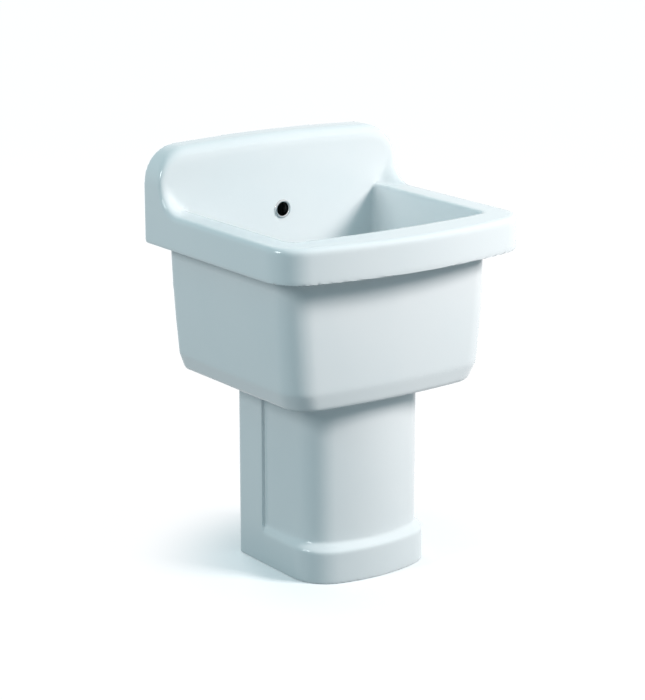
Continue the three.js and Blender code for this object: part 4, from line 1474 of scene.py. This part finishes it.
@dataclass
class Waste(Fittings):
    """The flanged, slotted waste with its seals, its locknut and the stopper."""

    thread: float = WASTE_THREAD
    bore: float = 20.6 * MM
    mouth: float = 23 * MM
    mouth_depth: float = 14 * MM
    flange: float = 3 * MM
    pitch: float = 2.3 * MM
    groove: float = 0.9 * MM
    slot_width: float = 16 * MM
    slot_height: float = 8 * MM
    slot_middle: float = 407.6 * MM
    grid_drop: float = 1 * MM
    grid_bar: float = 4 * MM
    grid_height: float = 3 * MM
    plug_height: float = 12 * MM
    plug_lip: float = 1.5 * MM
    plug_lip_height: float = 2 * MM
    plug_neck: float = 3.5 * MM
    plug_knob: float = 7 * MM
    plug_ribs: int = 5
    knob_facets: int = 20

    def waste_body(self) -> None:
        """The waste: a rounded flange, a slotted threaded body and a cross grid in its bore."""
        node = "waste_body"
        spot = Spot.of(node, Axis.UP)
        under = spot.high - self.flange
        slot_foot = self.slot_middle - self.slot_height / 2
        piece = turned("chromed_waste", spot.centre, spot.axis, eased([
            (self.bore, spot.low, 0.4 * MM), (self.thread - self.groove, spot.low, 0),
            *ridges(self.thread, self.groove, spot.low + 1 * MM, slot_foot - 3 * MM, self.pitch),
            (self.thread, slot_foot - 2 * MM, 0), (self.thread, under, 0),
            (spot.radius, under, 0.4 * MM), (spot.radius, under + 1.6 * MM, 1 * MM),
            (spot.radius - 2.6 * MM, spot.high, 1.6 * MM), (self.mouth, spot.high, 2.2 * MM),
            (self.bore, spot.high - self.mouth_depth, 3 * MM),
        ]))
        reach = (self.bore + self.thread) / 2
        half = self.grid_bar / 2
        top = spot.high - self.mouth_depth - self.grid_drop
        y = spot.centre.y
        for long, wide in ((reach, half), (half, reach)):
            grid = block("grid_bar", (-long, y - wide, top - self.grid_height),
                         (long, y + wide, top), 0.9 * MM)
            combine(piece, grid, Operation.JOIN)
        slot = block("slot", (-self.slot_width / 2, y - spot.radius, slot_foot),
                     (self.slot_width / 2, y + spot.radius, slot_foot + self.slot_height),
                     1.5 * MM)
        combine(piece, slot, Operation.CUT)
        self.hand_over(piece, "chrome_plate", node)

    def plug(self) -> None:
        """The rubber stopper: sealing ribs, a thin lip, and a knob on a waisted neck."""
        node = "sink_plug"
        spot = Spot.of(node, Axis.UP)
        top_of_waste = spot.low + self.plug_height
        mouth = self.mouth - CLEARANCE
        taper = (self.mouth - self.bore) / self.mouth_depth
        ribs = []
        for rib in range(self.plug_ribs):
            at = spot.low + (1.6 + 2.1 * rib) * MM
            radius = mouth - taper * (top_of_waste - at)
            ribs += [(radius - 0.5 * MM, at - 0.9 * MM, HAIR), (radius, at, 0.4 * MM)]
        lip_foot = top_of_waste + CLEARANCE
        lip_top = lip_foot + self.plug_lip_height
        middle = spot.high - self.plug_knob
        turn = math.acos(self.plug_neck / self.plug_knob)
        knob = [(radius, at, 0.0) for radius, at in
                arc((0, middle), self.plug_knob, -turn, QUARTER_TURN, self.knob_facets)]
        profile = eased([
            (0, spot.low + 1.5 * MM, 0), (mouth - 6 * MM, spot.low + 1.5 * MM, 1 * MM),
            (mouth - 7 * taper * MM - 3 * MM, spot.low, 0.5 * MM), *ribs,
            (mouth, top_of_waste, 0.2 * MM), (mouth + self.plug_lip, lip_foot, HAIR),
            (mouth + self.plug_lip, lip_foot + 0.9 * MM, 0.5 * MM), (mouth, lip_top, 0.6 * MM),
            (mouth - 4 * MM, lip_top - 0.6 * MM, 1 * MM),
            (self.plug_neck + 3.5 * MM, lip_top, 2 * MM),
            (self.plug_neck, lip_top + 1.4 * MM, 1 * MM), *knob[:-1], (0, spot.high, 0)])
        piece = turned("rubber_stopper", spot.centre, spot.axis, profile)
        self.hand_over(piece, "black_rubber", node, "plug")

    def build(self) -> None:
        """Models and dresses the waste and what holds it."""
        clear = self.thread + CLEARANCE
        self.waste_body()
        self.plug()
        self.washer("waste_upper_seal", "black_rubber", clear, 0.7 * MM)
        self.washer("waste_lower_seal", "black_rubber", clear, 1.3 * MM)
        self.washer("waste_slip_washer", "moulded_plastic", clear, 0.4 * MM)
        self.plain_nut("waste_locknut", "machined_brass", clear)


@dataclass
class Trap(Fittings):
    """The bottle trap, from the waste down and out to the wall."""

    y: float = WASTE_Y
    outlet_z: float = 244.2 * MM
    tube: float = 20 * MM
    tube_bore: float = 18 * MM
    collar: float = 3 * MM
    neck: float = 25 * MM
    neck_height: float = 24 * MM
    shoulder: float = 14 * MM
    shoulder_ledge: float = 4 * MM
    radius: float = 39 * MM
    wall: float = 3 * MM
    end_wall: float = 4 * MM
    foot: float = 192.2 * MM
    spigot: float = 24 * MM
    bottle_facets: int = 7
    cup_thread: float = 35 * MM
    cup_bore: float = 35.5 * MM
    cup_outer: float = 39.5 * MM
    cup_ledge: float = 171.6 * MM
    cup_foot: float = 30 * MM
    cup_ribs: int = 10
    cup_rib: float = 3 * MM
    cup_rib_facets: int = 24
    cup_bevel: float = 5 * MM
    swell_steps: int = 8
    swell_low: float = 4 * MM
    swell_high: float = 3 * MM
    rosette_land: float = 5 * MM
    rosette_sheet: float = 1.5 * MM
    dome_facets: int = 16
    pitch: float = 2 * MM
    groove: float = 0.8 * MM

    @property
    def middle(self) -> Vector:
        """A point on the trap's upright axis."""
        return Vector((0, self.y, 0))

    @property
    def outlet(self) -> Vector:
        """A point on the outlet's axis."""
        return Vector((0, 0, self.outlet_z))

    def tubes(self) -> None:
        """The inlet tube with its collar, and the pipe to the wall."""
        spot = Spot.of("trap_inlet_tube", Axis.UP)
        under = spot.high - self.collar
        piece = turned("inlet_tube", spot.centre, spot.axis, eased([
            (self.tube_bore, spot.low, 0.4 * MM), (self.tube, spot.low, 0.6 * MM),
            (self.tube, under, 1 * MM), (spot.radius, under, 0.6 * MM),
            (spot.radius, spot.high, 0.8 * MM), (self.tube_bore, spot.high, 1 * MM)]))
        self.hand_over(piece, "chrome_plate", "trap_inlet_tube")
        spot = Spot.of("trap_outlet_tube", Axis.BACK)
        piece = turned("outlet_pipe", spot.centre, spot.axis, eased([
            (self.tube_bore, spot.low, 0.4 * MM), (self.tube, spot.low, 0.6 * MM),
            (self.tube, spot.high, 0.4 * MM), (self.tube_bore, spot.high, 0.4 * MM)]))
        self.hand_over(piece, "chrome_plate", "trap_outlet_tube")

    def trap_body(self) -> None:
        """The bottle: a threaded neck, a rounded shoulder, a spigot and the cup's thread."""
        node = "trap_body"
        spot = Spot.of(node, Axis.UP)
        shoulder_top = spot.high - self.neck_height
        shoulder_foot = shoulder_top - self.shoulder
        inner = self.radius - self.wall
        clear = self.tube + CLEARANCE
        neck_root = self.neck - self.groove
        cup_root = self.cup_thread - self.groove
        cup_inner = self.cup_thread - self.wall
        piece = turned("trap_bottle", self.middle, Axis.UP, eased([
            (0, spot.low, 0), (cup_root, spot.low, 0.5 * MM),
            *ridges(self.cup_thread, self.groove, spot.low + 1 * MM, self.foot - 2 * MM,
                    self.pitch),
            (cup_root, self.foot, 0), (self.radius, self.foot, 1 * MM),
            (self.radius, shoulder_foot, 9 * MM),
            (self.neck + self.shoulder_ledge, shoulder_top, 4 * MM),
            (neck_root, shoulder_top, 1 * MM),
            *ridges(self.neck, self.groove, shoulder_top + 2 * MM, spot.high - 1 * MM, self.pitch),
            (neck_root, spot.high, HAIR), (0, spot.high, 0)], self.bottle_facets))
        end = self.y + self.radius + self.spigot
        root = self.y + self.radius - 6 * MM
        spigot = turned("spigot", self.outlet, Axis.BACK, eased([
            (0, self.y, 0), (neck_root, self.y, 0), (neck_root, root, 0),
            (self.neck + 4 * MM, root, 0), (self.neck + 3 * MM, root + 8 * MM, 2 * MM),
            (neck_root, root + 9 * MM, 1 * MM),
            *ridges(self.neck, self.groove, root + 11 * MM, end - 1 * MM, self.pitch),
            (neck_root, end, HAIR), (0, end, 0)]))
        combine(piece, spigot, Operation.JOIN, Solver.CLOSED)
        inside = turned("trap_inside", self.middle, Axis.UP, eased([
            (0, spot.low - PAST, 0), (cup_inner, spot.low - PAST, 0),
            (cup_inner, self.foot, 1 * MM), (inner, self.foot + self.end_wall, 2 * MM),
            (inner, shoulder_foot - self.end_wall, 8 * MM),
            (clear, shoulder_top - self.end_wall, 2 * MM),
            (clear, spot.high + PAST, 0), (0, spot.high + PAST, 0)]))
        combine(piece, inside, Operation.CUT, Solver.CLOSED)
        bore = bar("outlet_bore", self.outlet, Axis.BACK, clear, self.y + inner / 2, end + PAST)
        combine(piece, bore, Operation.CUT, Solver.CLOSED)
        self.hand_over(piece, "chrome_plate", node)

    def cup(self) -> None:
        """The cup: a tapered bowl under a collar with grip ribs."""
        node = "trap_cup"
        spot = Spot.of(node, Axis.UP)
        collar_foot = self.cup_ledge - self.end_wall
        rib_foot = collar_foot + 2 * MM
        rib_top = spot.high - 1 * MM
        levels = [(spot.low + depth, self.cup_foot - inset, 0.0)
                  for inset, depth in quarter(self.cup_bevel)][::-1]
        levels += [(collar_foot, self.cup_outer - 2 * MM, 0.0), (rib_foot, self.cup_outer, 0.0)]
        shares = [step / self.swell_steps for step in range(self.swell_steps + 1)]
        levels += [(rib_foot + self.swell_low * share, self.cup_outer,
                    math.sqrt(1 - (1 - share) ** 2)) for share in shares[1:]]
        levels += [(rib_top - self.swell_high * (1 - share), self.cup_outer,
                    math.sqrt(1 - share**2)) for share in shares]
        levels += [(spot.high - 0.4 * MM, self.cup_outer, 0.0),
                   (spot.high, self.cup_outer - 0.4 * MM, 0.0)]
        count = self.cup_rib_facets * self.cup_ribs

        def ring(height: float, radius: float, swell: float) -> Ring:
            """One level of the cup, with its ribs swollen by a share of their height."""
            places = []
            for index in range(count):
                angle = FULL_TURN * index / count
                off = math.remainder(angle, FULL_TURN / self.cup_ribs)
                rib = math.sqrt(max(self.cup_rib**2 - (self.cup_outer * math.sin(off)) ** 2, 0.0))
                reach = radius + swell * rib
                around = Vector((reach * math.cos(angle), reach * math.sin(angle), height))
                places.append(self.middle + around)
            return places

        piece = loft("trap_cup_body", [ring(*level) for level in levels])
        floor = spot.low + self.wall
        ledge = self.cup_thread - self.wall
        inside = turned("cup_inside", self.middle, Axis.UP, eased([
            (0, floor, 0), (self.cup_foot - self.wall - self.cup_bevel, floor, 0),
            (self.cup_foot - self.wall, floor + self.cup_bevel, 3 * MM),
            (ledge, collar_foot, 1 * MM), (ledge, self.cup_ledge, HAIR),
            (self.cup_bore, self.cup_ledge, HAIR),
            (self.cup_bore, spot.high + PAST, 0), (0, spot.high + PAST, 0)]))
        combine(piece, inside, Operation.CUT)
        self.hand_over(piece, "chrome_plate", node, "cup")

    def rosette(self) -> None:
        """The domed cover plate against the wall."""
        node = "wall_rosette"
        spot = Spot.of(node, Axis.BACK)
        bore = self.tube + CLEARANCE
        land = bore + self.rosette_land
        sheet = self.rosette_sheet
        angles = quarter_angles(self.dome_facets)
        outer = [(land + (spot.radius - land) * math.sin(angle),
                  spot.high - sheet - (spot.high - spot.low - sheet) * math.cos(angle), 0.0)
                 for angle in angles]
        inner = [(radius - sheet * math.sin(angle), at + sheet, 0.0)
                 for angle, (radius, at, _) in zip(angles, outer)]
        profile = eased([(bore, spot.low, 0.4 * MM), *outer, (spot.radius, spot.high, HAIR),
                         *inner[::-1], (bore, spot.low + sheet, 0)])
        piece = turned("domed_rosette", spot.centre, spot.axis, profile)
        self.hand_over(piece, "chrome_plate", node)

    def build(self) -> None:
        """Models and dresses the trap."""
        clear = self.tube + CLEARANCE
        self.tubes()
        self.trap_body()
        self.cup()
        self.rosette()
        self.slip_nut("trap_inlet_nut", WASTE_THREAD + CLEARANCE, clear, False)
        self.slip_nut("trap_body_nut", self.neck + CLEARANCE, clear, True)
        self.slip_nut("trap_outlet_nut", self.neck + CLEARANCE, clear, True, Axis.BACK)
        self.washer("trap_inlet_seal", "black_rubber", self.tube_bore, 0.7 * MM)
        self.washer("trap_body_seal", "black_rubber", clear, 1 * MM)
        self.washer("trap_outlet_seal", "black_rubber", clear, 1 * MM, Axis.BACK)
        self.washer("trap_cup_seal", "black_rubber", self.cup_thread - self.wall, 0.7 * MM,
                    body="cup")


@dataclass
class Fixings(Fittings):
    """What holds the basin to the wall and the pedestal to the floor."""

    stud: float = 5 * MM
    stud_pitch: float = 1.5 * MM
    stud_groove: float = 0.6 * MM
    stud_steps: int = 48
    bush_flange: float = 2 * MM
    bush_sleeve: float = 6.7 * MM
    screw: float = 3 * MM
    head_height: float = 5 * MM
    recess_length: float = 7 * MM
    recess_width: float = 1.5 * MM
    recess_depth: float = 2.6 * MM
    screw_groove: float = 0.6 * MM
    screw_pitch: float = 1.8 * MM
    head_rim: float = 1.2 * MM
    dome_facets: int = 12

    def wall_stud(self, label: str) -> None:
        """A threaded stud with a pointed end.

        Args:
            label: Which of the two it is.
        """
        spot = Spot.of(f"wall_stud_{label}", Axis.BACK)
        profile = eased([
            (0, spot.low, 0), (spot.radius - 1.2 * MM, spot.low, HAIR),
            *ridges(spot.radius, self.stud_groove, spot.low + 1 * MM, spot.high - 0.5 * MM,
                    self.stud_pitch),
            (spot.radius - self.stud_groove, spot.high, 0), (0, spot.high, 0)])
        piece = turned(f"threaded_stud_{label}", spot.centre, spot.axis, profile, self.stud_steps)
        self.hand_over(piece, "plated_steel", f"wall_stud_{label}")

    def wall_bush(self, label: str) -> None:
        """A flanged plastic bush between a stud and the ceramic.

        Args:
            label: Which of the two it is.
        """
        spot = Spot.of(f"wall_bush_{label}", Axis.BACK)
        bore = self.stud + CLEARANCE
        face = spot.low + self.bush_flange
        profile = eased([
            (bore, spot.low, HAIR), (spot.radius, spot.low, 0.6 * MM),
            (spot.radius, face, 0.6 * MM), (self.bush_sleeve, face, 0.4 * MM),
            (self.bush_sleeve, spot.high, 0.6 * MM), (bore, spot.high, HAIR)])
        piece = turned(f"bush_{label}", spot.centre, spot.axis, profile, SMALL_STEPS)
        self.hand_over(piece, "moulded_plastic", f"wall_bush_{label}")

    def floor_screw(self, label: str) -> None:
        """A screw with a domed head and a cross recess.

        Args:
            label: Which of the two it is.
        """
        spot = Spot.of(f"floor_screw_{label}", Axis.UP)
        head = spot.high - self.head_height
        crown = self.head_height - self.head_rim
        dome = [(spot.radius * math.cos(angle), head + self.head_rim + crown * math.sin(angle), 0.0)
                for angle in quarter_angles(self.dome_facets)]
        profile = eased([
            (0, spot.low, 0), (self.screw - self.screw_groove, spot.low, 0),
            *ridges(self.screw, self.screw_groove, spot.low + 0.5 * MM, head - 3 * MM,
                    self.screw_pitch),
            (self.screw, head - 2 * MM, 0), (self.screw, head, 0), (spot.radius, head, HAIR),
            *dome[:-1], (0, spot.high, 0)])
        piece = turned(f"cross_head_screw_{label}", spot.centre, spot.axis, profile, SMALL_STEPS)
        for long, wide in ((self.recess_length, self.recess_width),
                           (self.recess_width, self.recess_length)):
            low = (spot.centre.x - long / 2, spot.centre.y - wide / 2,
                   spot.high - self.recess_depth)
            high = (spot.centre.x + long / 2, spot.centre.y + wide / 2, spot.high + FUSE)
            combine(piece, block("recess", low, high), Operation.CUT)
        self.hand_over(piece, "plated_steel", f"floor_screw_{label}")

    def build(self) -> None:
        """Models and dresses the fixings of both sides."""
        bore = self.stud + CLEARANCE
        for label in ("left", "right"):
            self.wall_stud(label)
            self.wall_bush(label)
            self.washer(f"wall_washer_{label}", "plated_steel", bore, HAIR, Axis.BACK)
            self.plain_nut(f"wall_nut_{label}", "plated_steel", bore, Axis.BACK)
            self.floor_screw(label)
            self.washer(f"floor_washer_{label}", "moulded_plastic", self.screw + CLEARANCE,
                        0.5 * MM)


# ---------------------------------------------------------------- studio


@dataclass(frozen=True)
class Lamp:
    """A square area light that looks at the object's middle."""

    name: str
    direction: tuple[float, float, float]  # from the object to the light
    reach: float
    size: float
    watts: float
    colour: Colour
    gleams: bool  # whether it shows as a highlight on gloss

    def hang(self, middle: Vector) -> None:
        """Puts the light in the scene, aimed at the object's middle."""
        data = bpy.data.lights.new(self.name, "AREA")
        data.size = self.size
        data.energy = self.watts
        data.color = self.colour
        lamp = bpy.data.objects.new(self.name, data)
        towards = Vector(self.direction).normalized()
        lamp.location = middle + towards * self.reach
        lamp.rotation_mode = "QUATERNION"
        lamp.rotation_quaternion = (-towards).to_track_quat("-Z", "Y")
        lamp.visible_glossy = self.gleams
        bpy.context.scene.collection.objects.link(lamp)


LAMPS = (
    Lamp("key", (1.0, -1.28, 1.0), 4.0, 1.1, 160.0, (1.0, 0.935, 0.915), False),
    Lamp("fill", (-1.0, 0.1, 0.55), 4.5, 1.3, 60.0, (0.93, 0.99, 1.0), True),
    Lamp("back", (0.3, 1.0, 0.5), 4.5, 1.6, 40.0, (1.0, 1.0, 1.0), False),
)


@dataclass
class Studio:
    """The pale floor, the soft lights and the camera."""

    azimuth: float = -35.7
    elevation: float = 15.3
    distance: float = 4.6169
    lens: float = 115.1
    aim_right: float = -0.0367
    aim_up: float = 0.4514
    floor_size: float = 60.0
    sensor: float = 36.0
    sight: float = 100.0  # how far the camera sees
    middle: float = 0.45  # the height that the lamps look at
    shadow_near: float = 0.14  # the floor's own shade fades into glow from here
    shadow_far: float = 0.46  # to here, so that shadows stay short
    glow_near: float = 0.12
    glow_far: float = 1.0
    glow: Colour = (0.98, 0.99, 1.0)
    near_floor: Colour = (0.90, 0.92, 0.93)
    far_floor: Colour = (0.05, 0.05, 0.05)
    unseen_floor: Colour = (0.20, 0.21, 0.22)  # what the floor throws back on the object
    ambient: float = 0.39
    ambient_colour: Colour = (0.47, 0.88, 1.0)

    def back(self) -> Vector:
        """The direction from the object to the camera."""
        azimuth, elevation = math.radians(self.azimuth), math.radians(self.elevation)
        return Vector((math.sin(azimuth) * math.cos(elevation),
                       -math.cos(azimuth) * math.cos(elevation), math.sin(elevation)))

    def camera(self) -> None:
        """Puts the camera at the photograph's viewing angle."""
        azimuth = math.radians(self.azimuth)
        right = Vector((math.cos(azimuth), math.sin(azimuth), 0))
        aim = right * self.aim_right + Vector((0, 0, self.aim_up))
        data = bpy.data.cameras.new("camera")
        data.lens = self.lens
        data.sensor_width = self.sensor
        data.clip_end = self.sight
        camera = bpy.data.objects.new("camera", data)
        camera.location = aim + self.back() * self.distance
        camera.rotation_mode = "QUATERNION"
        camera.rotation_quaternion = (-self.back()).to_track_quat("-Z", "Y")
        bpy.context.scene.collection.objects.link(camera)
        bpy.context.scene.camera = camera

    def world(self) -> None:
        """A cool, even surround that looks white to the camera and in reflections."""
        world = bpy.data.worlds.new("studio")
        bpy.context.scene.world = world
        world.use_nodes = True
        world.node_tree.nodes.clear()
        nodes = Nodes(world.node_tree)
        seen = nodes.seen()
        colour = nodes.blend(seen, (*self.ambient_colour, 1), (1, 1, 1, 1))
        strength = nodes.math("MAXIMUM", seen, self.ambient)
        shader = nodes.add("ShaderNodeBackground", {"Color": colour, "Strength": strength})
        nodes.add("ShaderNodeOutputWorld", {"Surface": shader.outputs[0]})

    def floor(self) -> None:
        """A pale floor that fades into the white surround and keeps the shadow."""
        clear_selection()
        bpy.ops.mesh.primitive_plane_add(size=self.floor_size)
        floor = bpy.context.object
        floor.name = "floor"
        material = bpy.data.materials.new("pale_floor")
        material.use_nodes = True
        material.node_tree.nodes.clear()
        nodes = Nodes(material.node_tree)
        seen = nodes.seen()
        place = nodes.add("ShaderNodeTexCoord").outputs["Object"]
        away = nodes.add("ShaderNodeVectorMath", {"0": place},
                         operation="LENGTH").outputs["Value"]
        far = nodes.ramp(away, self.shadow_near, self.shadow_far)
        shown = nodes.blend(far, (*self.near_floor, 1), (*self.far_floor, 1))
        colour = nodes.blend(seen, (*self.unseen_floor, 1), shown)
        matt = nodes.add("ShaderNodeBsdfDiffuse", {"Color": colour})
        fade = nodes.math("MULTIPLY_ADD", far, self.glow_far - self.glow_near, self.glow_near)
        glow = nodes.add("ShaderNodeEmission", {
            "Color": (*self.glow, 1), "Strength": nodes.math("MULTIPLY", seen, fade)})
        both = nodes.add("ShaderNodeAddShader", {"0": matt.outputs[0], "1": glow.outputs[0]})
        nodes.add("ShaderNodeOutputMaterial", {"Surface": both.outputs[0]})
        floor.data.materials.append(material)

    def build(self) -> None:
        """Sets up the camera, the lights and the floor."""
        self.camera()
        self.world()
        self.floor()
        for lamp in LAMPS:
            lamp.hang(Vector((0, 0, self.middle)))
        bpy.context.scene.view_settings.view_transform = "Standard"


def main() -> None:
    """Builds the looks in order."""
    logging.basicConfig(level=logging.INFO, format="%(name)s %(message)s")
    Studio().build()
    palette = Palette()
    Basin(palette).build()
    pedestal = Pedestal(palette)
    pedestal.build()
    Trim(palette).build(pedestal)
    Waste(palette).build()
    Trap(palette).build()
    Fixings(palette).build()


if __name__ == "__main__":
    main()
